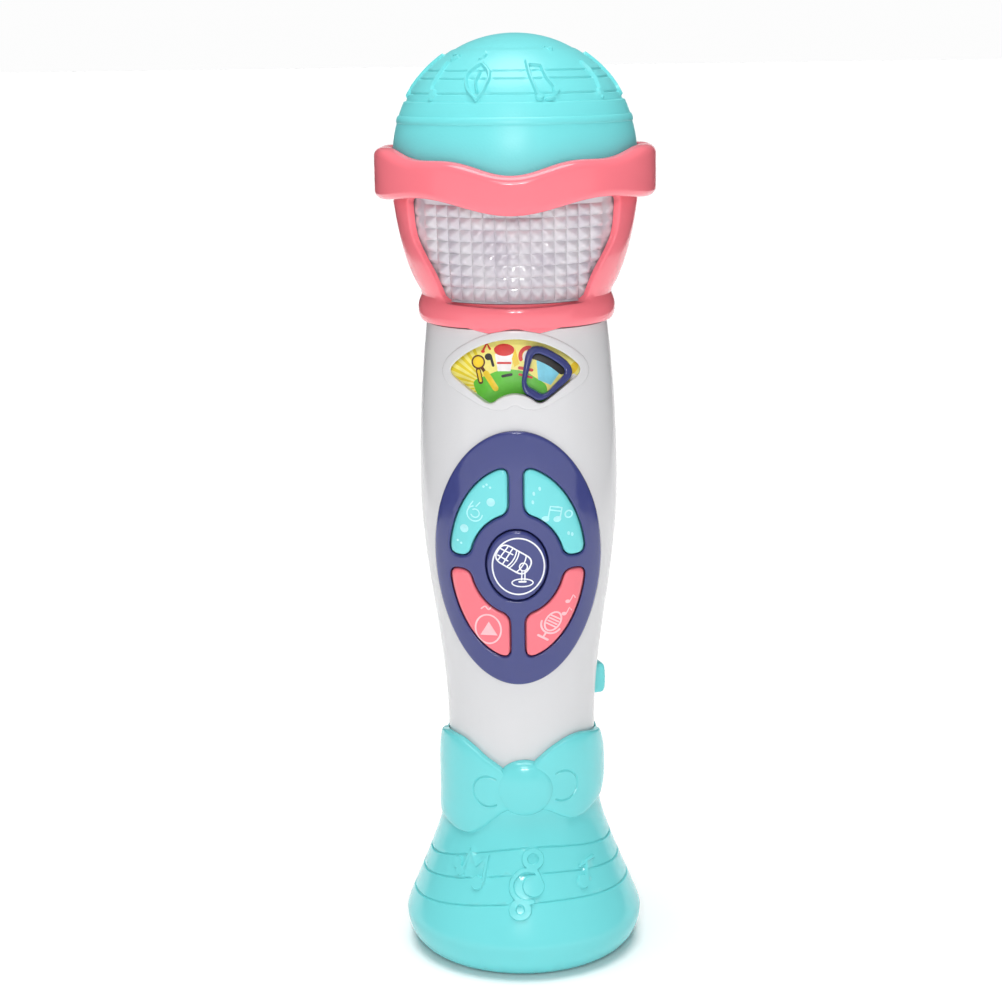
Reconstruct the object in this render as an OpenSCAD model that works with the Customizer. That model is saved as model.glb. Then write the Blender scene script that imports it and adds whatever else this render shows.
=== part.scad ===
// Toy microphone with a lit head, a two-shell handle, five sprung buttons,
// a swinging picture selector, a battery compartment and a flared foot with a bow.
// Origin: middle of the foot's rim, on the surface it stands on. +Z is up, -Y is the front.

/* [Overall] */
// Height from the floor to the top of the dome
total_h = 245; // [244:0.5:247]
// Thickness of the moulded shells
wall = 2; // [1.8:0.1:2.1]

/* [Handle] */
// Radius of the handle at its widest place
grip_wide_r = 26; // [25.8:0.1:26.4]
// Height of the widest place
grip_wide_z = 130; // [128:1:132]
// Radius at the waist, just above the foot
waist_r = 19.7; // [19.5:0.1:19.9]
// Height at which the waist begins
waist_z = 62; // [61:0.5:63]
// Radius at the top, under the head
grip_top_r = 23.5; // [23.3:0.1:23.8]

/* [Head] */
// Radius of the dome
dome_r = 31.7; // [31.4:0.1:31.8]
// Outer radius of the wavy visor band
visor_r = 36.2; // [35.5:0.1:37]
// Extra height of the visor at the two sides
visor_wave = 3.7; // [2.5:0.1:4]

/* [Control panel] */
// Height of the panel's middle
panel_z = 113; // [112.5:0.5:113.5]
// Half width of the oval panel
panel_a = 21.7; // [21.2:0.1:21.8]
// Half height of the oval panel
panel_b = 34; // [33.5:0.1:34.2]
// Travel of each button
button_travel = 1.2; // [0.8:0.1:1.4]

/* [Picture selector] */
// Height of the selector's pivot
pivot_z = 148.5; // [148.5:0.1:149]
// Half angle of the fan-shaped window
window_half = 54; // [53:0.5:54]
// Angle at which the selector stands, clockwise from the middle
selector_rest = 30.8; // [20:0.1:30.8]

/* [Battery compartment] */
// Radius of one cell
cell_r = 5.25; // [5:0.05:5.25]
// Length of one cell
cell_len = 44.5; // [43.5:0.1:44.5]

/* [Power switch] */
// Height of the switch knob in its low position
switch_z = 72.6; // [72.4:0.1:73]
// Travel of the switch knob
switch_travel = 4; // [3:0.5:4]
// Direction of the switch round the handle, from +X towards the back
switch_turn = 20; // [18:1:22]

/* [Foot] */
// Largest radius of the foot
foot_r = 32.2; // [31.8:0.1:32.6]
// Outer radius of the rim that stands on the floor
foot_rim_r = 24.9; // [24.6:0.1:25.4]
// Radius of the collar round the waist
collar_r = 21.2; // [21.1:0.1:21.6]

/* [Hidden] */
$fn = 96;
eps = 0.01;
far = 60;                       // longer than any radius in the model
dome_z = total_h - dome_r;      // centre of the dome's sphere
dome_ledge_h = 14.9;            // heights of the dome's two steps above that centre
dome_crown_h = 27.7;
grip_top_z = 172;               // handle meets the head frame
grip_low_z = 26.2;              // handle stands on the foot's inner deck
station = 5;                    // spacing of the handle outline's points
neck_fit_r = 21.4;              // spigot that enters the head frame
foot_bulge_z = 9.6;             // height of the foot's largest radius
collar_top_z = 62.4;            // top of the bow's collar
collar_top_r = 20.6;            // the collar narrows upwards
foot_deck_z = 24;               // underside of the deck inside the foot
bow_r = 0.6;                    // thickness of the bow's wings on the collar
base_z = 1.4;                   // underside of the base plate
base_plate_r = 23;
base_plate_t = 2;
base_screw_r = 20.3;            // radius of the base screws' circle
speaker_r = 17.6;
frame_top_z = 208.2;            // head frame ends, behind the visor
visor_tongue = 1.6;             // visor's inner tongue, clamped under the dome
shade_low_z = 178.6;            // bottom of the light shade
deck_z = 205.2;                 // underside of the head deck
deck_t = 1.8;
deck_screw_r = 24;              // radius of the deck screws' circle
cone_z = 195.6;                 // tip of the cone under the deck
web_z = 176.4;                  // floor of the head frame's neck
web_t = 2;
led_board_z = 180.4;
led_post_x = 17.3;              // posts under the lamp board
neck_hole_r = 8.5;              // opening in the floors of the neck
board_t = 1.6;
board_front = -13;              // front face of the main board
mat_t = 0.9;                    // sheet of the button mat
mat_dome_h = 2 * button_travel; // the dome folds flat over half its height
lead_y = 8.4;                   // battery leads leave the bay here
stem_end = board_front - mat_t - 0.1 - mat_dome_h - 0.1;
panel_proud = 1.1;              // panel stands above the handle
panel_ledge = 1.6;              // panel enters its opening by this much at each side
panel_skin = 1.6;
button_proud = 0.3;             // buttons stand above the panel
button_gap = 0.3;
lip = 0.9;                      // buttons' retaining lip
window_ri = 7.6;
window_ro = 21.4;
window_corner = 2;
selector_half = 22;
selector_ri = 7.9;
selector_ro = 19.9;
hub_front = -22.2;
hub_back = -20.8;
card_slope = 0.34;              // picture cone: rise per mm from the pivot
card_flat_r = 10.2;             // inside this radius the card is flat
card_front = 20.4;
card_t = 0.4;
plate_t = 1.4;
cell_pitch = 10.1;
cell_low_z = 98.9;
cell_y0 = 12.4;                 // straps that join neighbouring contacts
cells_at = [[-cell_pitch, 11.6], [0, 15.2], [cell_pitch, 11.6]];
bay_half_w = 15.8;              // inside of the battery bay
bay_low_z = 96.2;
bay_top_z = 146.6;
bay_floor_y = 6;
bay_wall = 1.2;
door_half_w = 17.4;
door_t = 1.5;
door_gap = 0.25;
door_screw_z = 90.5;
shell_screws_at = [[17.5, 154.5], [11, 50]];
head_screws_at = [11.5, 9];
foot_screw_y = 12;
board_posts_at = [[10, 81], [11, 144.5]];
switch_posts_at = [66, 84.2];
thread_r = 1.25;                // self-tapping screws
clear_r = 1.5;                  // clearance for them in the outer of two parts
pilot_r = 1.3;
wire_r = 0.6;                   // insulated leads
button_drop = -0.9;             // the four outer buttons' middle, from the panel's middle
button_spots = [[0, 112], [-9.2, 124], [9.2, 124], [-9.2, 100.2], [9.2, 100.2]];

// ---------- outlines and helpers ----------

function upper_r(t) = grip_wide_r - (grip_wide_r - grip_top_r) * t * t;
function lower_r(t) = waist_r + (grip_wide_r - waist_r) * (1 + cos(180 * t)) / 2;
function smooth_r(z) = z >= grip_wide_z
    ? upper_r((z - grip_wide_z) / (grip_top_z - grip_wide_z))
    : lower_r(min(1, (grip_wide_z - z) / (grip_wide_z - waist_z)));

// The handle is a stack of cones between stations: shells, panel and door all share its faces.
function grip_r(z) =
    let (a = station * floor(z / station), t = (z - a) / station)
    smooth_r(a) * (1 - t) + smooth_r(a + station) * t;

function stations(z0, z1) = concat([z0],
    [for (z = [station * ceil((z0 + 0.5) / station) : station : z1 - 0.5]) z], [z1]);

function ellipse(a, b, n = 72) =
    [for (i = [0 : n - 1]) [a * cos(360 * i / n), b * sin(360 * i / n)]];

function arc(c, r, a0, a1, n = 8) =
    [for (i = [0 : n]) let (a = a0 + (a1 - a0) * i / n) c + r * [cos(a), sin(a)]];

function bezier(p, n = 12) = [for (i = [0 : n]) let (t = i / n, s = 1 - t)
    s * s * s * p[0] + 3 * s * s * t * p[1] + 3 * s * t * t * p[2] + t * t * t * p[3]];

// The same points mirrored left to right and in the opposite order.
function mirrored(p) = [for (i = [len(p) - 1 : -1 : 0]) [-p[i][0], p[i][1]]];

// A fan-shaped outline about [0, 0], opening towards +Y, with corners of radius f.
function fan(ri, ro, half, f) =
    let (bo = asin(f / (ro - f)), bi = asin(f / (ri + f)),
        outer_corner = (ro - f) * [cos(90 - half + bo), sin(90 - half + bo)],
        inner_corner = (ri + f) * [cos(90 - half + bi), sin(90 - half + bi)],
        right = concat(arc(outer_corner, f, 90 - half + bo, -half, 5),
            arc(inner_corner, f, -half, -90 - half + bi, 5)))
    concat(
        arc([0, 0], ro, 90 + half - bo, 90 - half + bo, 24),
        right,
        arc([0, 0], ri, 90 - half + bi, 90 + half - bi, 16),
        mirrored(right));

// Extrudes a front-view outline (x, z) from y0 to y1.
module along_y(y0, y1) {
    translate([0, y1, 0]) rotate([90, 0, 0]) linear_extrude(height = y1 - y0) children();
}

// Extrudes a front-view outline given about z, through the front wall.
module through_front(z) {
    translate([0, 0, z]) along_y(-far, -5) children();
}

// A cylinder along Y from y0 to y1, at x and z.
module rod_y(x, z, y0, y1, r) {
    translate([x, y1, z]) rotate([90, 0, 0]) cylinder(h = y1 - y0, r = r, $fn = 32);
}

module rod_z(x, y, z0, z1, r) {
    translate([x, y, z0]) cylinder(h = z1 - z0, r = r, $fn = 32);
}

module block(x0, x1, y0, y1, z0, z1) {
    translate([x0, y0, z0]) cube([x1 - x0, y1 - y0, z1 - z0]);
}

// Section of the handle, grown or shrunk by d.
function grip_section(d, z0, z1) =
    concat([[0, z0]], [for (z = stations(z0, z1)) [grip_r(z) + d, z]], [[0, z1]]);

module grip(d, z0 = grip_low_z, z1 = grip_top_z) {
    rotate_extrude() polygon(grip_section(d, z0, z1));
}

module grip_layer(d0, d1, z0, z1) {
    difference() {
        grip(d1, z0, z1);
        grip(d0, z0 - 1, z1 + 1);
    }
}

module front_half() {
    block(-far, far, -far, 0, 0, total_h + far);
}

module rear_half() {
    block(-far, far, 0, far, 0, total_h + far);
}

// A pan-head screw that points along -Z from its seat at the origin.
module screw(len, head_r = 2.3, head_h = 1.5, r = thread_r) {
    difference() {
        union() {
            translate([0, 0, -len]) cylinder(h = len, r = r, $fn = 32);
            cylinder(h = head_h, r = head_r, $fn = 32);
        }
        for (a = [0, 90]) rotate([0, 0, a]) translate([-1.3, -0.3, head_h - 0.7]) cube([2.6, 0.6, 1]);
    }
}

module screw_from_rear(x, z, seat_y, len, head_r = 2.3, head_h = 1.5) {
    translate([x, seat_y, z]) rotate([-90, 0, 0]) screw(len, head_r, head_h);
}

function unit(v) = v / norm(v);
function heading(path, i) = unit(path[min(i + 1, len(path) - 1)] - path[max(i - 1, 0)]);

// A round rod swept along a path that never runs along `side`.
module tube(path, r, side = [1, 0, 0], n = 10) {
    last = len(path) - 1;
    points = [for (i = [0 : last], j = [0 : n - 1]) let (d = heading(path, i), u = unit(cross(d, side)),
            v = cross(u, d), b = 360 * j / n)
        path[i] + r * (cos(b) * u + sin(b) * v)];
    faces = concat([[for (j = [0 : n - 1]) j]], [[for (j = [n - 1 : -1 : 0]) last * n + j]],
        [for (i = [0 : last - 1], j = [0 : n - 1]) let (m = (j + 1) % n)
            each [[i * n + j, (i + 1) * n + j, i * n + m], [i * n + m, (i + 1) * n + j, (i + 1) * n + m]]]);
    polyhedron(points = points, faces = faces, convexity = 8);
}

// ---------- head ----------

// The dome steps in twice, at a ledge and at its crown. Three staff rings are cut between the
// two steps, and a bead runs round below them.
function dome_inset(h) = h > dome_crown_h ? 0.5 : h > dome_ledge_h ? 0.35 : 0;
function dome_slice_r(h) = sqrt(pow(dome_r, 2) - pow(h, 2));
function dome_arc(a0, a1, n) = [for (i = [0 : n])
    let (a = a0 + (a1 - a0) * i / n, h = dome_r * sin(a))
        [(dome_r - dome_inset(h)) * cos(a), dome_z + h]];

module dome_cap() {
    seat_z = frame_top_z + visor_tongue;
    skirt_r = dome_r - 0.3;
    low_a = 2;
    ledge_a = asin(dome_ledge_h / dome_r);
    crown_a = asin(dome_crown_h / dome_r);
    step_a = 0.2;
    groove_hs = [17, 20.6, 22.5];
    bead_h = 10.5;
    color("mediumturquoise") union() {
        difference() {
            union() {
                rotate_extrude() polygon(concat([[0, seat_z], [skirt_r, seat_z]],
                    dome_arc(low_a, ledge_a - step_a, 10), dome_arc(ledge_a + step_a, crown_a - step_a, 10),
                    dome_arc(crown_a + step_a, 90, 8)));
                rotate_extrude() translate([dome_slice_r(bead_h) - 0.5, dome_z + bead_h])
                    circle(r = 0.9, $fn = 24);
            }
            rotate_extrude() polygon(concat([[0, seat_z - 1], [skirt_r - wall, seat_z - 1]],
                [for (i = [0 : 16]) let (a = 90 * i / 16)
                    [(dome_r - wall - 0.7) * cos(a), dome_z + (dome_r - wall - 0.2) * sin(a)]]));
            for (h = groove_hs) rotate_extrude()
                translate([dome_slice_r(h) - 0.65, dome_z + h]) circle(r = 0.5, $fn = 16);
        }
        for (a = [90, 210, 330]) rotate([0, 0, a]) difference() {
            rod_z(deck_screw_r, 0, deck_z + deck_t, dome_z + 12.5, 2.8);
            rod_z(deck_screw_r, 0, deck_z, dome_z + 4, pilot_r);
        }
    }
}

// Edges of the visor round the head: low at the front and back, high at the sides.
function visor_top(a) = frame_top_z + 6.54
    - visor_wave * (0.66 * cos(2 * a) + 0.09 * cos(4 * a) + 0.125 * cos(6 * a) + 0.15 * cos(8 * a));
function visor_low(a) = frame_top_z - 4.3
    - visor_wave * (0.23 * cos(2 * a) + 0.36 * cos(4 * a) + 0.12 * cos(6 * a));

module visor_band() {
    sides = 72;
    inner_r = dome_r + 0.15;
    tongue_r = dome_r - 2.2;
    ring = function(a) let (t = visor_top(a), b = visor_low(a), f = 2.2) concat(
        [[tongue_r, frame_top_z], [inner_r, frame_top_z], [inner_r, b + 0.6], [inner_r + 0.6, b]],
        arc([visor_r - f, b + f], f, -90, 0, 3), arc([visor_r - f, t - f], f, 0, 90, 3),
        [[inner_r + 0.6, t], [inner_r, t - 0.6], [inner_r, frame_top_z + visor_tongue],
        [tongue_r, frame_top_z + visor_tongue]]);
    n = len(ring(0));
    points = [for (i = [0 : sides - 1]) let (a = 360 * i / sides)
        for (p = ring(a)) [p[0] * cos(a - 90), p[0] * sin(a - 90), p[1]]];
    faces = [for (i = [0 : sides - 1], j = [0 : n - 1]) let (k = (i + 1) % sides, m = (j + 1) % n)
        each [[i * n + j, i * n + m, k * n + j], [i * n + m, k * n + m, k * n + j]]];
    color("lightcoral") polyhedron(points = points, faces = faces, convexity = 6);
}

// Outside of the pink frame from the neck's lower edge, over its bead, to its top behind the visor.
frame_outside = concat(
    [[24.3, grip_top_z]],
    [for (a = [-80 : 20 : 80]) [24.35 + 1.25 * cos(a), 175.6 + 3.2 * sin(a)]],
    [[24.6, 179.3]],
    bezier([[24.7, 180], [27.4, 184], [30, 191.5], [31.45, 203]], 10),
    [[31.45, frame_top_z]]);

frame_inside = concat([[23.1, 178.4]], bezier([[23.1, 180], [25.6, 184], [28.2, 191.5], [29.6, 203]], 10),
    [[29.6, frame_top_z + 1]]);

module frame_windows() {
    // One window at the front and one at the back, wide at the top and narrow at the neck.
    top_w = 26.8;
    low_w = 18;
    along_y(-far, far) offset(r = 2, $fn = 24) offset(delta = -2)
        polygon([[-top_w, 204.9], [-top_w + 1.1, 195], [-low_w - 2.8, 185.5], [-low_w, 178.5],
            [low_w, 178.5], [low_w + 2.8, 185.5], [top_w - 1.1, 195], [top_w, 204.9]]);
}

module head_frame() {
    color("lightcoral") difference() {
        union() {
            difference() {
                rotate_extrude() polygon(concat([[0, grip_top_z]], frame_outside, [[0, frame_top_z]]));
                rotate_extrude() polygon(concat([[0, 178.4]], frame_inside, [[0, frame_top_z + 1]]));
                translate([0, 0, grip_top_z - 1])
                    cylinder(h = web_z - grip_top_z + 1, r = neck_fit_r + 0.15);
                frame_windows();
            }
            // ledge that the deck is drawn up against
            rotate_extrude() polygon([[27.6, deck_z + deck_t + 0.1], [30, deck_z + deck_t + 0.1],
                [30, frame_top_z - 0.1], [27.6, frame_top_z - 0.1]]);
            for (s = [-1, 1]) rod_z(s * led_post_x, 0, web_z + 1, led_board_z, 1.9);
        }
        translate([0, 0, web_z - 1]) cylinder(h = 5, r = neck_hole_r);
        for (sx = [-1, 1], sy = [-1, 1])
            rod_z(sx * head_screws_at[0], sy * head_screws_at[1], web_z - 1, web_z + 4, clear_r);
        for (s = [-1, 1]) rod_z(s * led_post_x, 0, web_z + 1.2, led_board_z + 1, 0.95);
    }
}

module light_shade() {
    color([0.9, 0.88, 0.95, 0.5]) rotate_extrude() polygon(concat(
        [[20.9, shade_low_z], [22.8, shade_low_z]],
        bezier([[22.85, 180], [25.35, 184], [27.95, 191.5], [29.35, 203]], 10),
        [[29.35, deck_z - 0.1], [27.85, deck_z - 0.1]],
        bezier([[27.85, 202.5], [26.45, 191.5], [23.85, 184], [21.3, 180.4]], 10)));
}

// Round deck that closes the lit bowl from above, with a cone that spreads the light.
module head_deck() {
    color("white") difference() {
        union() {
            translate([0, 0, deck_z]) cylinder(h = deck_t, r = 29.3);
            translate([0, 0, cone_z]) cylinder(h = deck_z - cone_z + eps, r1 = 4, r2 = 20);
        }
        translate([0, 0, cone_z + wall])
            cylinder(h = deck_z + deck_t - cone_z - wall + eps, r1 = 2.8, r2 = 20);
        for (a = [90, 210, 330]) rotate([0, 0, a]) rod_z(deck_screw_r, 0, deck_z - 1, deck_z + 3, clear_r);
    }
}

module head_deck_screws() {
    color("silver") for (a = [90, 210, 330]) rotate([0, 0, a])
        translate([deck_screw_r, 0, deck_z]) rotate([180, 0, 0]) screw(12, 2.3, 1.4);
}

module led_board() {
    color("forestgreen") difference() {
        translate([0, 0, led_board_z]) cylinder(h = board_t, r = 19.8);
        translate([0, 0, led_board_z - 1]) cylinder(h = 4, r = 4);
        for (s = [-1, 1]) rod_z(s * led_post_x, 0, led_board_z - 1, led_board_z + 3, 1.1);
    }
}

module led_board_screws() {
    color("silver") for (s = [-1, 1]) translate([s * led_post_x, 0, led_board_z + board_t])
        screw(4, 1.8, 1.2, 0.9);
}

module led_lamps() {
    spots = [[9, 9], [-9, 9], [-9, -9], [9, -9]];
    color("white") for (p = spots) translate([p[0], p[1], led_board_z + board_t]) {
        cylinder(h = 1, r = 2.9, $fn = 32);
        cylinder(h = 6, r = 2.5, $fn = 32);
        translate([0, 0, 6]) sphere(r = 2.5, $fn = 32);
    }
}

module head_screws() {
    color("silver") for (sx = [-1, 1], sy = [-1, 1])
        translate([sx * head_screws_at[0], sy * head_screws_at[1], web_z + web_t]) screw(9, 2.3, 1.5);
}

// ---------- handle ----------

// Wall of the handle with its spigot, its ends and nothing cut out of it yet.
module handle_wall() {
    difference() {
        union() {
            grip(0);
            translate([0, 0, grip_top_z - eps]) cylinder(h = web_z - 0.1 - grip_top_z, r = neck_fit_r);
        }
        difference() {
            grip(-wall, grip_low_z + wall, grip_top_z);
            translate([0, 0, grip_top_z - wall - 1]) cylinder(h = 10, r = far);
        }
        translate([0, 0, grip_top_z - wall - 1 - eps])
            cylinder(h = web_z - 0.1 - grip_top_z + 1, r = neck_fit_r - 1.8);
        translate([0, 0, grip_low_z - 1]) cylinder(h = wall + 2, r = 8);
        translate([0, 0, grip_top_z]) cylinder(h = 10, r = neck_hole_r);
    }
}

module end_bosses(sy) {
    for (sx = [-1, 1]) rod_z(sx * head_screws_at[0], sy * head_screws_at[1], 166, web_z - 0.5, 2.7);
    rod_z(0, sy * foot_screw_y, grip_low_z, 37, 2.8);
}

module end_pilots(sy) {
    for (sx = [-1, 1]) rod_z(sx * head_screws_at[0], sy * head_screws_at[1], 168, web_z + 1, pilot_r);
    rod_z(0, sy * foot_screw_y, grip_low_z - 1, 36, pilot_r);
}

// Walls round the outer arc and the two straight sides of the picture window.
module window_well() {
    intersection() {
        grip(-0.5, 140, grip_top_z);
        translate([0, 0, pivot_z]) difference() {
            along_y(-far, -15.2) polygon(fan(window_ri, window_ro + 1.3, window_half + 4, 1));
            along_y(-far, 0) polygon(fan(window_ri - 1, window_ro, window_half, window_corner));
            rotate([90, 0, 0]) rotate_extrude() polygon([[0, 0], [40, 0], [40, 10],
                [window_ro + 4, 16.5 - card_slope], [card_flat_r, card_front - 0.05], [0, card_front - 0.05]]);
        }
    }
}

module front_shell() {
    color("white") difference() {
        union() {
            intersection() {
                handle_wall();
                front_half();
            }
            window_well();
            intersection() {
                union() {
                    end_bosses(-1);
                    for (p = shell_screws_at, s = [-1, 1]) rod_y(s * p[0], p[1], -far, -0.1, 2.8);
                    for (p = board_posts_at, s = [-1, 1]) rod_y(s * p[0], p[1], -far, board_front, 1.9);
                    rod_y(0, pivot_z, -far, -18.6, 2);
                }
                union() {
                    grip(-0.6, grip_low_z, grip_top_z);
                    translate([0, 0, grip_top_z - 1]) cylinder(h = 6, r = neck_fit_r - 1);
                }
            }
        }
        through_front(pivot_z) polygon(fan(window_ri, window_ro, window_half, window_corner));
        through_front(panel_z) polygon(ellipse(panel_a - panel_ledge + 0.1, panel_b - panel_ledge + 0.1));
        end_pilots(-1);
        for (p = shell_screws_at, s = [-1, 1]) rod_y(s * p[0], p[1], -9.5, 1, pilot_r);
        for (p = board_posts_at, s = [-1, 1]) rod_y(s * p[0], p[1], -17.5, board_front + 1, 1);
        rod_y(0, pivot_z, -22.5, -18, 1);
    }
}

// Outline of the battery door: straight sides, a narrower lower end for its screw.
module door_outline(d) {
    low_w = 9;
    offset(r = 3 + d, $fn = 24) offset(delta = -3)
        polygon([[-low_w, 84.8], [low_w, 84.8], [door_half_w, 94.5], [door_half_w, 149.6],
            [-door_half_w, 149.6], [-door_half_w, 94.5]]);
}

module switch_place() {
    rotate([0, 0, switch_turn]) children();
}

module rear_shell() {
    color("white") difference() {
        union() {
            intersection() {
                handle_wall();
                rear_half();
            }
            intersection() {
                union() {
                    block(-bay_half_w - bay_wall, bay_half_w + bay_wall, bay_floor_y - 1.4, far,
                        bay_low_z - bay_wall, bay_top_z + bay_wall);
                    block(-8, 8, 9, 16.5, 85.5, bay_low_z);
                    // ledge under the door's edge
                    intersection() {
                        grip_layer(-door_t - 1.7, 0, 82, 152);
                        along_y(5, far) door_outline(2);
                    }
                    for (p = shell_screws_at, s = [-1, 1]) rod_y(s * p[0], p[1], 0, far, 4);
                    end_bosses(1);
                    switch_place() for (z = switch_posts_at) translate([9.3, 0, z]) rotate([0, 90, 0])
                        cylinder(h = 20, r = 1.6, $fn = 32);
                }
                union() {
                    grip(-0.6, grip_low_z, grip_top_z);
                    translate([0, 0, grip_top_z - 1]) cylinder(h = 6, r = neck_fit_r - 1);
                }
            }
        }
        // battery bay, and the recess that its door fills
        block(-bay_half_w, bay_half_w, bay_floor_y, far, bay_low_z, bay_top_z);
        block(-5, 5, 16.5, far, 86, bay_low_z + eps);
        difference() {
            along_y(5, far) door_outline(door_gap);
            grip(-door_t - 0.1, 70, 165);
        }
        rod_y(0, door_screw_z, 9.5, far, pilot_r);
        rod_y(0, door_screw_z, 16.6, far, 4.4);
        for (p = shell_screws_at, s = [-1, 1]) {
            rod_y(s * p[0], p[1], -1, far, clear_r);
            rod_y(s * p[0], p[1], 4, far, 2.7);
        }
        end_pilots(1);
        switch_place() {
            for (z = switch_posts_at) translate([9, 0, z]) rotate([0, 90, 0])
                cylinder(h = 6, r = 0.95, $fn = 32);
            block(15, far, -1.9, 1.9, switch_z - 2.05, switch_z + switch_travel + 2.05);
            block(19.5, far, -3.7, 3.7, switch_z - 4.7, switch_z + switch_travel + 4.7);
        }
        // slots for the two battery leads
        for (s = [-1, 1]) translate([s * cell_pitch, lead_y, bay_low_z])
            block(-1.2, 1.2, -1.2, 1.2, -3, 1);
    }
}

module shell_screws() {
    color("silver") for (p = shell_screws_at, s = [-1, 1]) screw_from_rear(s * p[0], p[1], 4, 12);
}

// ---------- control panel ----------

// Outline of one outer button, grown by d: between two ovals, the upright bar and the cross gap.
module quadrant(sx, sz, d) {
    bar = 1.8;
    cross = 1.7;
    corner = 2.6;
    translate([0, button_drop]) offset(delta = d) offset(r = corner, $fn = 24) offset(delta = -corner)
        intersection() {
            difference() {
                polygon(ellipse(17.65, 26.1));
                polygon(ellipse(12, 13.6));
            }
            translate([sx > 0 ? bar : -far - bar, sz > 0 ? cross : -far - cross]) square([far, far]);
        }
}

module control_panel() {
    low = panel_z - panel_b - 1;
    high = panel_z + panel_b + 1;
    color("slateblue") difference() {
        union() {
            intersection() {
                grip_layer(0, panel_proud, low, high);
                through_front(panel_z) polygon(ellipse(panel_a, panel_b));
            }
            intersection() {
                grip_layer(-panel_skin, panel_proud / 2, low, high);
                through_front(panel_z) polygon(ellipse(panel_a - panel_ledge, panel_b - panel_ledge));
            }
        }
        for (sx = [-1, 1], sz = [-1, 1]) through_front(panel_z) quadrant(sx, sz, 0);
        through_front(button_spots[0][1]) polygon(ellipse(8.1, 9.75));
    }
}

// A button: a curved cap, a wider lip behind the panel and a stem that ends at the mat.
module button(spot) {
    z0 = panel_z - 30;
    z1 = panel_z + 30;
    union() {
        intersection() {
            grip_layer(-panel_skin - 1.2, panel_proud + button_proud, z0, z1);
            children(0);
        }
        intersection() {
            grip_layer(-panel_skin - 1.2, -panel_skin - 0.2, z0, z1);
            children(1);
        }
        difference() {
            rod_y(spot[0], spot[1], -grip_r(spot[1]), stem_end, 1.8);
            rotate_extrude() difference() {
                translate([0, z0]) square([far, z1 - z0]);
                polygon(grip_section(-panel_skin - 0.6, z0 - 1, z1 + 1));
            }
        }
    }
}

module quadrant_button(sx, sz, spot) {
    button(spot) {
        through_front(panel_z) quadrant(sx, sz, -button_gap);
        through_front(panel_z) quadrant(sx, sz, lip);
    }
}

module centre_button() {
    color("slateblue") button(button_spots[0]) {
        through_front(button_spots[0][1]) polygon(ellipse(7.75, 9.4));
        through_front(button_spots[0][1]) polygon(ellipse(9.05, 10.7));
    }
}

module upper_left_button() {
    color("turquoise") quadrant_button(-1, 1, button_spots[1]);
}

module upper_right_button() {
    color("turquoise") quadrant_button(1, 1, button_spots[2]);
}

module lower_left_button() {
    color("lightcoral") quadrant_button(-1, -1, button_spots[3]);
}

module lower_right_button() {
    color("lightcoral") quadrant_button(1, -1, button_spots[4]);
}

module button_mat() {
    color("whitesmoke") {
        block(-12.4, 12.4, board_front - mat_t, board_front, 97, 131);
        for (p = button_spots) translate([p[0], board_front - mat_t + eps, p[1]]) rotate([90, 0, 0])
            cylinder(h = mat_dome_h, r1 = 3.2, r2 = 2, $fn = 32);
    }
}

module main_board() {
    color("forestgreen") difference() {
        block(-12.5, 12.5, board_front, board_front + board_t, 79, 147);
        for (p = board_posts_at, s = [-1, 1]) rod_y(s * p[0], p[1], board_front - 1, board_front + 3, 1.1);
    }
}

module board_chips() {
    back = board_front + board_t;
    color("black") {
        rod_y(-3, 125, back, back + 1.4, 5);
        block(3, 9, back, back + 1.5, 104, 113);
        block(-10, -5, back, back + 1.2, 98, 102);
        rod_y(5, 92, back, back + 5, 2.5);
        rod_y(-6, 90, back, back + 5, 2.5);
    }
}

module board_screws() {
    color("silver") for (p = board_posts_at, s = [-1, 1])
        translate([s * p[0], board_front + board_t, p[1]]) rotate([-90, 0, 0]) screw(4.2, 1.8, 1.2, 0.9);
}

// ---------- picture selector ----------

// Revolves a section (distance from the pivot, -y) through a fan of the given half angle.
module swept_fan(half, section) {
    translate([0, 0, pivot_z]) rotate([90, 0, 0]) rotate([0, 0, 90 - half])
        rotate_extrude(angle = 2 * half) polygon(section);
}

// A layer of the picture cone: a fan of thickness t behind y0, kept clear of the handle's wall.
module picture_layer(half, ro, y0, t) {
    ri = 7.2;
    y1 = y0 - card_slope * (ro - card_flat_r);
    gap = 0.2;
    intersection() {
        swept_fan(half,
            [[ri, y0 - t], [ri, y0], [card_flat_r, y0], [ro, y1], [ro, y1 - t], [card_flat_r, y0 - t]]);
        union() {
            grip(-wall - gap, 145, grip_top_z);
            through_front(pivot_z)
                polygon(fan(window_ri, window_ro - gap, window_half - 0.6, window_corner));
        }
    }
}

module picture_card() {
    color("gold") picture_layer(window_half + 2.5, window_ro + 1, card_front, card_t);
}

module picture_plate() {
    color("white") picture_layer(window_half + 2.5, window_ro + 1, card_front - card_t, plate_t);
}

// The selector's ring, drawn with the pivot at x = 0 and its middle straight up.
module selector_ring() {
    front = function(r) 24.3 - 0.44 * (r - 8);
    back = function(r) -hub_back - card_slope * (r - card_flat_r);
    difference() {
        intersection() {
            swept_fan(selector_half + 2, [[selector_ri, front(selector_ri)], [selector_ro, front(selector_ro)],
                [selector_ro, back(selector_ro)], [card_flat_r, -hub_back], [selector_ri, -hub_back]]);
            through_front(pivot_z) polygon(fan(selector_ri, selector_ro, selector_half, 2.8));
        }
        through_front(pivot_z) polygon(fan(selector_ri + 1.7, selector_ro - 1.6, selector_half - 6, 1.2));
    }
}

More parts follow.
